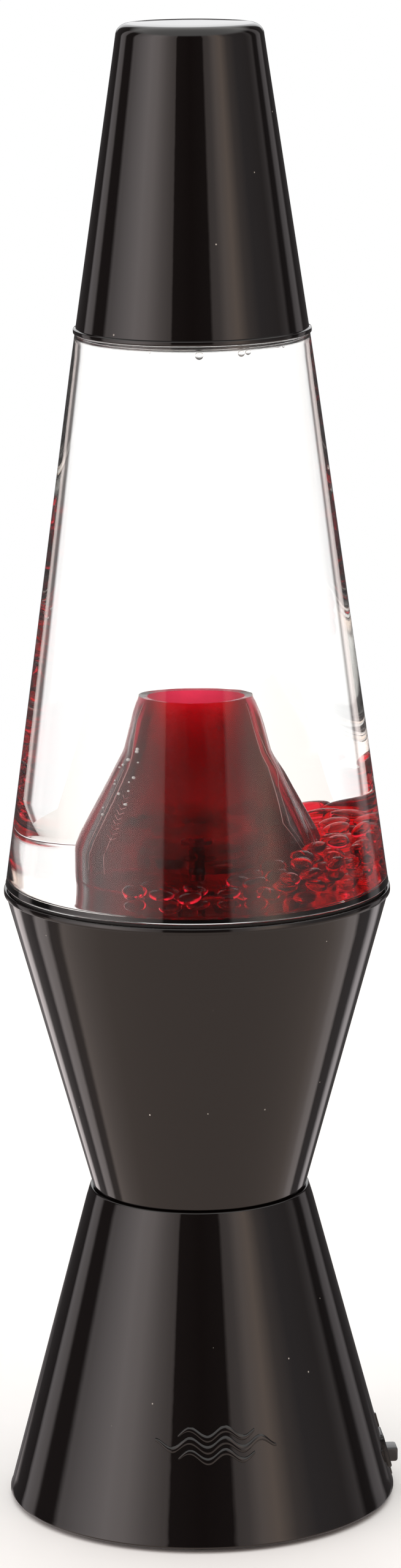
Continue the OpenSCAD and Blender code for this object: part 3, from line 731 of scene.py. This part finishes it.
class LAMP_OT_cap(bpy.types.Operator):
    """Builds the tapered cap with its lip, rounded top edge and inner ribs"""

    bl_idname = "lamp.cap"
    bl_label = "Cap"

    def execute(self, context):
        def side(z):
            return on_path(z, ((SHOULDER_Z, LIP_R - 0.35 * MM), (CAP_TOP_Z, sizes().cap_top_radius)))

        edge = 2.4 * MM
        soft = 0.2 * MM
        wall = 1.5 * MM
        foot_r = LIP_R - 1.6 * MM
        z_edge = CAP_TOP_Z - edge
        z_lip = SHOULDER_Z + 0.9 * MM
        in_top = CAP_TOP_Z - 2 * MM
        outline = [(foot_r, SHOULDER_Z)]
        outline += arc((LIP_R - soft, SHOULDER_Z + soft), soft, -90, 0, 4)
        outline += arc((LIP_R - soft, z_lip - soft), soft, 0, 70, 4)
        outline += [(side(z_lip + 0.25 * MM) + 0.02 * MM, z_lip + 0.12 * MM)]
        outline += along((side(z_lip + 0.5 * MM), z_lip + 0.5 * MM), (side(z_edge), z_edge), 12)
        outline += arc((side(z_edge) - edge, z_edge), edge, 4, 88, 14)
        outline += [(side(z_edge) * 0.45, CAP_TOP_Z), (0, CAP_TOP_Z)]
        inner = [(0, in_top), (side(in_top) - wall - 1 * MM, in_top), (side(in_top) - wall, in_top - 1 * MM)]
        inner += along((side(in_top - 2 * MM) - wall, in_top - 2 * MM), (side(z_lip) - wall, z_lip), 6)
        inner += [(side(z_lip) - wall, z_lip), (foot_r, SHOULDER_Z)]
        bm = bmesh.new()
        turned(bm, outline, sizes().round_steps)
        turned(bm, inner, sizes().round_steps)
        bmesh.ops.remove_doubles(bm, verts=bm.verts, dist=WELD)
        self.add_ribs(bm, side, wall)
        new_piece("cap_shell", mesh_from(bm, "cap"), "cap", "cap_black", ["cap"], "gloss_black")
        return {"FINISHED"}

    def add_ribs(self, bm, side, wall):
        """Three upright ribs that grip the neck; their backs lean with the cap's side."""
        low = SHOULDER_Z + 0.8 * MM
        inside = NECK_R + 0.3 * MM
        for degrees in (90, 210, 330):
            made = block(bm, (0, -0.6 * MM, low), (1, 0.6 * MM, low + 5.4 * MM))
            for v in made:
                v.co.x = inside + v.co.x * (side(v.co.z) - wall * 0.5 - inside)
            bmesh.ops.rotate(bm, verts=made, matrix=Matrix.Rotation(math.radians(degrees), 3, "Z"))


def globe_line(z):
    """Outer radius of the globe's tapered wall at height z."""
    return on_path(z, ((GLOBE_Z, GLOBE_R), (SHOULDER_Z, sizes().shoulder_radius)))


# The clear vessel stands a hair above the diffuser, and the liquid shows down to a thin skin at its foot
VESSEL_FOOT = GLOBE_Z + 0.08 * MM
INNER_FOOT = VESSEL_FOOT + 0.5 * MM
BED_Z = INNER_FOOT + 0.08 * MM
FILLET = 1.1 * MM


class LAMP_OT_globe(bpy.types.Operator):
    """Builds the clear globe with its floor, and the liquid in it"""

    bl_idname = "lamp.globe"
    bl_label = "Globe and liquid"

    def execute(self, context):
        self.build_globe()
        self.build_liquid()
        return {"FINISHED"}

    def build_globe(self):
        steps = sizes().round_steps
        wall = sizes().wall
        shoulder = sizes().shoulder_radius
        bore = NECK_R - wall
        soft = 0.35 * MM
        outer = [(0, VESSEL_FOOT), (GLOBE_R * 0.5, VESSEL_FOOT)]
        outer += arc((GLOBE_R - soft, VESSEL_FOOT + soft), soft, -90, 8, 5)
        outer += along((globe_line(GLOBE_Z + 1 * MM), GLOBE_Z + 1 * MM),
                       (globe_line(SHOULDER_Z - 0.5 * MM), SHOULDER_Z - 0.5 * MM), 16)
        outer += arc((shoulder - 0.3 * MM, SHOULDER_Z - 0.3 * MM), 0.3 * MM, 8, 90, 4)
        outer += [(NECK_R, SHOULDER_Z), (NECK_R, NECK_TOP_Z), (bore, NECK_TOP_Z)]
        inner = [(bore, NECK_TOP_Z), (bore, CEILING_Z)]
        inner += arc((globe_line(CEILING_Z) - wall - 0.6 * MM, CEILING_Z - 0.6 * MM), 0.6 * MM, 90, 8, 4)
        low = INNER_FOOT + FILLET
        inner += along((globe_line(CEILING_Z - 1 * MM) - wall, CEILING_Z - 1 * MM),
                       (globe_line(low) - wall, low), 16)
        inner += arc((globe_line(low) - wall - FILLET, low), FILLET, -4, -90, 6)
        inner += [(GLOBE_R * 0.4, INNER_FOOT), (0, INNER_FOOT)]
        bm = bmesh.new()
        turned(bm, outer, steps)
        for face in turned(bm, inner, steps):
            face.material_index = 1
        bmesh.ops.remove_doubles(bm, verts=bm.verts, dist=WELD)
        new_piece("globe_vessel", mesh_from(bm, "globe", 40), "globe", "clear_acrylic",
                  ["globe", "globe_floor"], "clear_wall", "clear_wetted")

    def build_liquid(self):
        """The liquid reaches a hair into the wall so that no film of air is left between them."""
        wall = sizes().wall
        lap = 0.15 * MM
        low = INNER_FOOT + FILLET
        top = CEILING_Z
        outline = [(0, INNER_FOOT - lap), (GLOBE_R * 0.4, INNER_FOOT - lap)]
        outline += arc((globe_line(low) - wall - FILLET, low), FILLET + lap, -90, -4, 6)
        outline += along((globe_line(low + 0.4 * MM) - wall + lap, low + 0.4 * MM),
                         (globe_line(top) - wall + lap, top), 16)
        outline += [(globe_line(top) - wall + lap, top + lap), (0, top + lap)]
        bm = bmesh.new()
        turned(bm, outline, sizes().round_steps)
        new_piece("liquid_fill", mesh_from(bm, "liquid", 40), "globe", "liquid", ["liquid"], "liquid")


class LAMP_OT_volcano(bpy.types.Operator):
    """Builds the red volcano with its creases, folds and open mouth"""

    bl_idname = "lamp.volcano"
    bl_label = "Volcano"

    def execute(self, context):
        angles = [TURN * k / VOLCANO_STEPS for k in range(VOLCANO_STEPS)]
        heights = [i / 48 for i in range(47)] + [0.985, 1.0]
        outer = [[self.outer_point(h, a) for a in angles] for h in heights]
        inner = [[self.inner_point(h, a) for a in angles] for h in heights[::3] + [1.0]]
        for rows in (outer, inner):
            rows.insert(0, [(x, y, BED_Z) for x, y, _ in rows[0]])
        bm = bmesh.new()
        loops = [[bm.verts.new(point) for point in row] for row in outer[::-1] + inner]
        skin(bm, loops + loops[:1])
        new_piece("volcano_shell", mesh_from(bm, "volcano", 26), "globe", "volcano_red",
                  ["volcano"], "volcano_red")
        self.build_crease_glints()
        return {"FINISHED"}

    def build_crease_glints(self):
        """Fine pale threads that paint highlights where the flank is creased, and the short ones along the
        combed ridges on the left shoulder, painted as glints too.
        """
        bm = bmesh.new()
        for thick, path in CREASE_GLINT_LINES:
            self.add_line(bm, path, thick * MM)
        # short pale threads that paint the glints of the combed ridges
        for i in range(9):
            h = 0.47 - 0.028 * i
            self.add_line(bm, ((h, 206.0), (h - 0.022, 209.5), (h - 0.008, 213.0)), 0.05 * MM)
        # painted highlights: the pale threads stand for the glints along the creases and combed ridges
        new_piece("volcano_crease_glints", mesh_from(bm, "creases", 40), "globe", "volcano_red", (), "crease_glint_paint")

    def add_line(self, bm, path, radius):
        """A thin closed thread on the flank through stops given as share of the height and angle."""
        stops = []
        for start, end in zip(path, path[1:]):
            stops += along(start, end, max(2, int(abs(end[0] - start[0]) * 60)))
        stops.append(path[-1])
        spine = [Vector(self.outer_point(h, math.radians(a))) for h, a in stops]
        loops = []
        for i, centre in enumerate(spine):
            ahead = (spine[min(i + 1, len(spine) - 1)] - spine[max(i - 1, 0)]).normalized()
            side = ahead.cross(Vector((centre.x, centre.y, 0)).normalized()).normalized()
            lift = side.cross(ahead)
            thin = radius * (0.35 + 0.65 * math.sin(math.pi * (i + 0.5) / len(spine)))
            loops.append([bm.verts.new(centre + side * x + lift * y)
                          for x, y, _ in (round_point(thin, TURN * k / 6, 0) for k in range(6))])
        tube(bm, loops)

    def outer_point(self, h, a):
        z = VOLCANO_FOOT + h * (VOLCANO_TOP_Z - VOLCANO_FOOT)
        if h > 0.98:
            dip = 0.25 + 0.2 * noise.noise(Vector(round_point(3, a, 0)))
            z -= dip * MM * (1 if h < 1 else 0.4)
        return round_point(flank_radius(h, a) * (VOLCANO_R - 0.15 * MM), a, z)

    def inner_point(self, h, a):
        wall = (1.15 + 0.5 * (1 - h)) * MM
        radius = max(MOUTH_R, on_path(h, FLANK) * VOLCANO_R - wall)
        if h > 0.94:
            radius = MOUTH_R + 0.12 * MM * math.sin(3 * a + 1)
        return round_point(radius, a, VOLCANO_FOOT + h * (VOLCANO_TOP_Z - FLOOR_Z - 0.3 * MM))


VOLCANO_STEPS = 240
COMB_WIDTH = 0.34
VOLCANO_FOOT = FLOOR_Z + 0.02 * MM
MOUTH_R = 7.1 * MM
# The flank's line: share of the height, share of the skirt's radius
FLANK = ((0.0, 1.0), (0.12, 1.0), (0.2, 0.955), (0.36, 0.835), (0.52, 0.715), (0.68, 0.6),
         (0.9, 0.52), (1.0, 0.47))
# Stepped creases: angle at the mouth, angle at the skirt, height of the step, share of the height it reaches
CREASES = (
    (-0.42, -0.30, 0.04, 0.98), (-0.05, 0.10, 0.03, 0.64), (0.30, 0.34, 0.03, 0.66), (3.55, 3.46, 0.03, 0.98),
    (3.30, 3.16, 0.024, 0.70), (2.2, 2.35, 0.03, 0.9), (1.2, 1.0, 0.03, 0.85))
# Pale threads that paint highlights along the creases: thickness in millimetres, stops as share of the height
# and angle
CREASE_GLINT_LINES = (
    (0.10, ((0.97, 200), (0.62, 202), (0.3, 199), (0.03, 196))),
    (0.07, ((0.60, 198), (0.34, 195), (0.04, 192))),
    (0.07, ((0.24, 210), (0.14, 208), (0.03, 209))),
    (0.09, ((0.97, 329), (0.60, 336), (0.3, 326), (0.05, 340))),
    (0.07, ((0.92, 334), (0.58, 341), (0.28, 332), (0.04, 345))),
    (0.07, ((0.64, 350), (0.40, 352), (0.06, 356))),
)


def flank_radius(h, a):
    """The flank with broad lava folds, stepped creases, drips and fine herringbone ridges."""
    share = on_path(h, FLANK)
    around = Vector((math.cos(a), math.sin(a), h))
    folds = noise.noise(around * 1.6 + Vector((4.2, 0, 0))) * 0.022
    drips = noise.noise(Vector((around.x * 6, around.y * 6, h * 1.5))) * 0.010
    fade = min(1.0, (1 - h) * 5 + 0.2)
    step = 0.0
    for top, foot, rise, high in CREASES:
        if h <= high:
            side = 1 if foot < math.pi / 2 else -1
            past = turned_past(a, foot + (top - foot) * h) * side
            ends = min(1.0, (high - h) * 8 + 0.15)
            step += rise * ends * math.exp(-max(0.0, past) / 0.22) / (1 + math.exp(-past / 0.012))
    comb = 0.0
    off = abs(turned_past(a, 3.62))
    if 0.14 < h < 0.52 and off < COMB_WIDTH:
        comb = 0.004 * math.sin(h * 260 + off * 30) * (1 - off / COMB_WIDTH)
    return min(1.0, share * 0.97 + (folds + drips) * fade + step + comb)


def turned_past(a, b):
    """Angle from b round to a, between minus half a turn and half a turn."""
    return (a - b + math.pi) % TURN - math.pi


class LAMP_OT_beads(bpy.types.Operator):
    """Heaps the lens-shaped beads round the volcano"""

    bl_idname = "lamp.beads"
    bl_label = "Beads"

    def execute(self, context):
        rng = random.Random(11)
        heap = Balls(28, 12)
        for centre, turn_by in settle_beads(rng):
            self.add_bead(heap, centre, turn_by, rng)
        new_piece("bead_heap", heap.mesh("beads"), "globe", "bead_red", ["beads"], "bead_red")
        return {"FINISHED"}

    def add_bead(self, heap, centre, turn_by, rng):
        """One bead: a squashed ball, slightly out of round."""
        half_d = sizes().bead_diameter / 2 * rng.uniform(0.92, 1.06)
        half_t = sizes().bead_thickness / 2 * rng.uniform(0.9, 1.05)

        def place(point):
            x, y, z = point
            return centre + turn_by @ Vector(
                (x * half_d, y * half_d * 0.97, math.copysign(abs(z) ** 1.1, z) * half_t))

        heap.add(place)


class Balls:
    """Gathers many closed balls of one make in one mesh."""

    def __init__(self, around, down):
        self.ball, self.ball_faces = ball_shape(around, down)
        self.points, self.faces = [], []

    def add(self, place):
        """Adds a ball, each of its points moved by place."""
        first = len(self.points)
        self.points.extend(place(point) for point in self.ball)
        self.faces.extend(tuple(first + i for i in face) for face in self.ball_faces)

    def add_round(self, centre, radius):
        self.add(lambda point: Vector(centre) + Vector(point) * radius)

    def mesh(self, name):
        mesh = bpy.data.meshes.new(name)
        mesh.from_pydata(self.points, [], self.faces)
        mesh.shade_smooth()
        return mesh


def ball_shape(around, down):
    """Points and outward faces of a unit ball."""
    points = [(0, 0, -1)]
    for j in range(1, down):
        b = math.pi * j / down
        points += [round_point(math.sin(b), TURN * k / around, -math.cos(b)) for k in range(around)]
    points.append((0, 0, 1))
    last = len(points) - 1
    faces = []
    for k in range(around):
        n = (k + 1) % around
        faces.append((0, 1 + n, 1 + k))
        faces.append((last, last - around + k, last - around + n))
        for j in range(down - 2):
            low, high = 1 + j * around, 1 + (j + 1) * around
            faces.append((low + k, low + n, high + n, high + k))
    return points, faces


# Depth of the heap: angle round the lamp in degrees, layers of beads above the first; none at the far left
BED = ((0, 3.0), (40, 3.1), (98, 2.8), (104, -1.0), (234, -1.0), (241, 0.9), (270, 1.2), (310, 2.2),
       (340, 3.0), (360, 3.0))


# Spots tried in all, spots compared for each bead
SPOTS = 1500
CHOICES = 5


def settle_beads(rng):
    """Drops beads one by one while there is room, each into the lowest of a few spots, tilted as it lies."""
    d = sizes().bead_diameter
    t = sizes().bead_thickness
    low_r = VOLCANO_R + d * 0.42
    high_r = globe_line(FLOOR_Z + 4 * MM) - sizes().wall - d / 2 - 0.3 * MM
    placed = []
    for _ in range(SPOTS):
        if len(placed) == sizes().bead_count:
            break
        best = None
        for _ in range(CHOICES):
            a = rng.uniform(0, TURN)
            x, y, _ = round_point(math.sqrt(rng.uniform(low_r ** 2, high_r ** 2)), a, 0)
            base, lean = rest_height(placed, x, y, d, t)
            layers = (base - BED_Z) / t
            depth = on_path(math.degrees(math.atan2(y, x)) % 360, BED)
            if layers <= depth + rng.uniform(-0.35, 0.25) and (best is None or base < best[2]):
                best = (x, y, base, lean)
        if best is None:
            continue
        x, y, base, lean = best
        tilt = Vector((-lean[0], -lean[1], 1)).normalized()
        turn_by = Vector((0, 0, 1)).rotation_difference(tilt).to_matrix()
        wobble = Euler((rng.uniform(-0.12, 0.12), rng.uniform(-0.12, 0.12), rng.uniform(0, TURN))).to_matrix()
        placed.append((Vector((x, y, base + t * 0.5 + 0.08 * MM)), turn_by @ wobble))
    return placed


def rest_height(placed, x, y, d, t):
    """Height at which a bead comes to rest at a spot, and the slope of what it lies on."""
    base = BED_Z
    lean = (0.0, 0.0)
    for centre, _ in placed:
        dx, dy = x - centre[0], y - centre[1]
        if abs(dx) >= d or abs(dy) >= d:
            continue
        gap = math.hypot(dx, dy)
        if gap >= d * 0.96:
            continue
        top = centre[2] - t * 0.5 + t * (1 - (gap / d) ** 2) ** 0.5
        if top > base:
            base = top
            slope = 0.42 / d
            lean = (-slope * dx, -slope * dy)
    return base, lean


class LAMP_OT_bubbles(bpy.types.Operator):
    """Adds the air bubbles under the ceiling and the fine ones on the volcano's shoulder, whose near-white
    finish paints their glints
    """

    bl_idname = "lamp.bubbles"
    bl_label = "Air bubbles"

    def execute(self, context):
        balls = Balls(20, 12)
        radius = 0.8 * MM
        under = CEILING_Z - radius - 0.15 * MM
        r = globe_line(under) - sizes().wall - radius - 0.25 * MM
        for degrees, share in CEILING_BUBBLES:
            balls.add_round(round_point(r, math.radians(degrees), under + radius * (1 - share)),
                            radius * share)
        clear_faces = len(balls.faces)
        rng = random.Random(5)
        for i in range(SHOULDER_BUBBLES):
            h = 0.72 - 0.36 * i / (SHOULDER_BUBBLES - 1) + rng.uniform(-0.015, 0.015)
            a = math.radians(188 + rng.uniform(0, 26))
            spot = round_point(flank_radius(h, a) * VOLCANO_R + 0.05 * MM, a,
                               FLOOR_Z + h * (VOLCANO_TOP_Z - FLOOR_Z))
            balls.add_round(spot, rng.uniform(0.16, 0.34) * MM)
        mesh = balls.mesh("bubbles")
        # the shoulder bubbles are near-white balls that paint their glints
        for face in mesh.polygons[clear_faces:]:
            face.material_index = 1
        new_piece("air_bubbles_clear", mesh, "globe", "liquid", ["air_bubbles"], "bubble", "bubble_painted_glint")
        return {"FINISHED"}


SHOULDER_BUBBLES = 16
# Bubbles under the ceiling: angle round the lamp, share of the largest bubble
CEILING_BUBBLES = ((-91.5, 1.0), (-68.5, 0.85), (-64.5, 0.7), (-118, 0.3), (-40, 0.35), (60, 0.8))


def lower_line(z):
    """Outer radius of the lower base at height z."""
    return on_path(z, ((EDGE_Z, FOOT_R), (WAIST_Z, sizes().waist_radius)))


def upper_line(z):
    """Outer radius of the upper base at height z."""
    return on_path(z, ((WAIST_Z, sizes().waist_radius - 0.75 * MM), (BEAD_Z, RIM_R - 0.4 * MM)))


# Underside of the rim's rounded band, and the bore that the leads pass at the waist
BEAD_Z = RIM_Z - 1.2 * MM
BORE_R = 6 * MM


class LAMP_OT_base(bpy.types.Operator):
    """Builds the two halves of the base and the seat that the globe stands in"""

    bl_idname = "lamp.base"
    bl_label = "Base"

    def execute(self, context):
        self.build_upper()
        self.build_lower()
        return {"FINISHED"}

    def build_upper(self):
        seat_r = 33.9 * MM
        inner_low = WAIST_Z + 2.5 * MM
        side_low = WAIST_Z + 0.3 * MM
        side_top = BEAD_Z - 0.3 * MM
        outline = [(BORE_R, WAIST_Z), (upper_line(WAIST_Z) - 0.3 * MM, WAIST_Z)]
        outline += along((upper_line(side_low), side_low), (upper_line(side_top), side_top), 14)
        outline += [(upper_line(side_top), side_top), (upper_line(BEAD_Z), BEAD_Z - 0.05 * MM)]
        outline += arc((RIM_R - 0.25 * MM, BEAD_Z + 0.25 * MM), 0.25 * MM, -60, 0, 4)
        outline += arc((RIM_R - 0.35 * MM, RIM_Z - 0.35 * MM), 0.35 * MM, 0, 90, 5)
        outline += [(seat_r + 0.2 * MM, RIM_Z), (seat_r, RIM_Z - 0.2 * MM), (seat_r, RIM_Z - 4.9 * MM)]
        outline += along((upper_line(RIM_Z - 6 * MM) - 2.6 * MM, RIM_Z - 6 * MM),
                         (upper_line(inner_low) - 2.8 * MM, inner_low), 6)
        outline += [(upper_line(inner_low) - 2.8 * MM, inner_low), (BORE_R, inner_low)]
        self.build_half("base_upper", outline)

    def build_lower(self):
        lip = 0.4 * MM
        side_low = EDGE_Z + 1.2 * MM
        side_top = WAIST_Z - 0.6 * MM
        inner_top = WAIST_Z - 2.5 * MM
        inner_low = EDGE_Z + 3.2 * MM
        outline = [(FOOT_R - 2.5 * MM, EDGE_Z), (FOOT_R - 0.6 * MM, EDGE_Z)]
        outline += arc((FOOT_R - 0.55 * MM, EDGE_Z + 0.5 * MM), 0.5 * MM, -90, 10, 5)
        outline += along((lower_line(side_low), side_low), (lower_line(side_top), side_top), 28)
        outline += arc((lower_line(WAIST_Z) - lip, WAIST_Z - lip), lip, 14, 90, 5)
        outline += [(BORE_R, WAIST_Z), (BORE_R, inner_top), (lower_line(inner_top) - 3 * MM, inner_top),
                    (FOOT_R - 4 * MM, inner_low), (FOOT_R - 2.5 * MM, inner_low)]
        piece = self.build_half("base_lower", outline)
        slot = bmesh.new()
        block(slot, (28 * MM, -2.6 * MM, 4.4 * MM), (45 * MM, 2.6 * MM, 10 * MM))
        cut(piece, plain_mesh(slot, "slot"))

    def build_half(self, node, outline):
        """Turns a closed outline that stays off the axis into one half of the base."""
        bm = bmesh.new()
        turned(bm, outline + outline[:1], sizes().round_steps)
        return new_piece(node + "_shell", mesh_from(bm, node, 34), "base", "base_black",
                         [node], "gloss_black")


class LAMP_OT_switch(bpy.types.Operator):
    """Builds the switch's bezel, its knob and the raised on and off marks"""

    bl_idname = "lamp.switch"
    bl_label = "Switch"

    def execute(self, context):
        self.build_bezel()
        self.build_knob()
        self.build_marks()
        return {"FINISHED"}

    def wall_frame(self, z):
        """Matrix of a spot on the lower base's +X side: X outwards, Z up along the wall."""
        lean = math.atan2(FOOT_R - sizes().waist_radius, WAIST_Z - EDGE_Z)
        return Matrix.Translation((lower_line(z), 0, z)) @ Matrix.Rotation(-lean, 4, "Y")

    def loop_at(self, bm, half_y, half_z, x, radius):
        return [bm.verts.new((x, y, z)) for y, z in rounded(half_y, half_z, radius, 5)]

    def build_bezel(self):
        half_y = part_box("switch_bezel")[1][1]
        half_z = 3.4 * MM
        bm = bmesh.new()
        loops = []
        for grow, x in ((0.0, -0.9), (0.0, 0.3), (-0.2, 0.5), (-0.48, 0.5), (-0.62, 0.3), (-0.62, -0.9)):
            grow *= MM
            loops.append(self.loop_at(bm, half_y + grow, half_z + grow, x * MM, 0.9 * MM + grow * 0.5))
        skin(bm, loops + loops[:1])
        bm.transform(self.wall_frame(SWITCH_Z))
        new_piece("switch_bezel_frame", mesh_from(bm, "bezel", 30), "base", "trim_black", ["switch_bezel"],
                  "trim_black")

    def build_knob(self):
        """A block with rounded corners and three grip ribs across its face, on a narrower stem."""
        half_y = KNOB_HIGH[1]
        half_z = (KNOB_HIGH[2] - KNOB_LOW[2]) / 2
        face = KNOB_HIGH[0]
        middle = (KNOB_LOW[2] + KNOB_HIGH[2]) / 2
        bm = bmesh.new()
        loops = []
        for x, grow in ((33.4 * MM, 0), (face - 0.5 * MM, 0), (face - 0.15 * MM, -0.12), (face, -0.42)):
            grow *= MM
            loops.append(self.loop_at(bm, half_y + grow, half_z + grow, x, 0.55 * MM + grow * 0.4))
        tube(bm, loops)
        bm.transform(Matrix.Translation((0, 0, middle)))
        for offset in (-0.75, 0.0, 0.75):
            block(bm, (face - 0.35 * MM, -half_y * 0.72, middle + (offset - 0.14) * MM),
                  (face - 0.01 * MM, half_y * 0.72, middle + (offset + 0.14) * MM))
        block(bm, (KNOB_LOW[0], -1.6 * MM, middle - 1.1 * MM), (33.6 * MM, 1.6 * MM, middle + 1.1 * MM))
        new_piece("switch_knob_block", mesh_from(bm, "knob", 30), "switch_knob", "trim_black",
                  ["switch_knob"], "trim_black")

    def build_marks(self):
        """A raised bar above the switch for on, and a raised ring below it for off."""
        bm = bmesh.new()
        bar = block(bm, (-0.3 * MM, -0.45 * MM, 4.5 * MM), (0.3 * MM, 0.45 * MM, 7.5 * MM))
        edges = list({edge for v in bar for edge in v.link_edges})
        bmesh.ops.bevel(bm, geom=edges, offset=0.12 * MM, segments=2, affect="EDGES")
        loops = []
        for k in range(32):
            loop = []
            for j in range(8):
                out, wide, _ = round_point(0.25 * MM, math.pi / 2 - TURN * j / 8, 0)
                y, z, _ = round_point(0.8 * MM + wide, TURN * k / 32, 0)
                loop.append(bm.verts.new((out, y, z - 4.9 * MM)))
            loops.append(loop)
        skin(bm, loops + loops[:1])
        bm.transform(self.wall_frame(SWITCH_Z))
        new_piece("switch_marks", mesh_from(bm, "marks", 40), "base", "base_black", (), "gloss_black")


SWITCH_Z = 7.2 * MM


class LAMP_OT_emblem(bpy.types.Operator):
    """Puts a plain raised wave on the front of the lower base"""

    bl_idname = "lamp.emblem"
    bl_label = "Front wave"

    def execute(self, context):
        bm = bmesh.new()
        for offset, width, thick in ((2.1, 15.0, 0.42), (0.0, 24.0, 0.5), (-2.1, 15.0, 0.42)):
            self.add_wave(bm, offset * MM, width * MM, thick * MM)
        new_piece("front_wave", mesh_from(bm, "emblem", 50), "base", "base_black", (), "gloss_black")
        return {"FINISHED"}

    def add_wave(self, bm, lift, width, thick):
        """A rounded strip that swells and thins along a wave, laid on the cone."""
        steps = 90
        loops = []
        for i in range(steps + 1):
            s = i / steps * 2 - 1
            z = 20.3 * MM + lift + 0.9 * MM * math.sin(s * width / (7 * MM) * math.pi)
            a = -math.pi / 2 + s * width / 2 / lower_line(z)
            half = thick * (0.35 + 0.65 * math.cos(s * math.pi / 2) ** 0.7) if abs(s) < 1 else thick * 0.35
            loop = []
            for j in range(10):
                up, out, _ = round_point(1, TURN * j / 10, 0)
                height = z + half * 1.7 * up
                loop.append(bm.verts.new(round_point(lower_line(height) + 0.32 * MM * out, a, height)))
            loops.append(loop)
        tube(bm, loops)


class LAMP_PT_panel(bpy.types.Panel):
    """Lists the lamp's settings and its builders"""

    bl_idname = "LAMP_PT_panel"
    bl_label = "Volcano Lava Lamp"
    bl_space_type = "VIEW_3D"
    bl_region_type = "UI"
    bl_category = "Lamp"

    def draw(self, context):
        layout = self.layout
        for group in (context.scene.lamp_sizes, context.scene.lamp_colours, context.scene.lamp_stage):
            box = layout.box()
            for name in group.__annotations__:
                box.prop(group, name)
        for step in STEPS:
            layout.operator(step.bl_idname)


STEPS = (
    LAMP_OT_stage, LAMP_OT_finishes, LAMP_OT_cap, LAMP_OT_globe, LAMP_OT_volcano, LAMP_OT_beads,
    LAMP_OT_bubbles, LAMP_OT_base, LAMP_OT_switch, LAMP_OT_emblem,
)
CLASSES = (LampSizes, LampColours, StageSettings) + STEPS + (LAMP_PT_panel,)


def register():
    for cls in CLASSES:
        bpy.utils.register_class(cls)
    bpy.types.Scene.lamp_sizes = bpy.props.PointerProperty(type=LampSizes)
    bpy.types.Scene.lamp_colours = bpy.props.PointerProperty(type=LampColours)
    bpy.types.Scene.lamp_stage = bpy.props.PointerProperty(type=StageSettings)


def unregister():
    del bpy.types.Scene.lamp_stage
    del bpy.types.Scene.lamp_colours
    del bpy.types.Scene.lamp_sizes
    for cls in reversed(CLASSES):
        bpy.utils.unregister_class(cls)


def main():
    register()
    for step in STEPS:
        group, name = step.bl_idname.split(".")
        getattr(getattr(bpy.ops, group), name)()


if __name__ == "__main__":
    main()
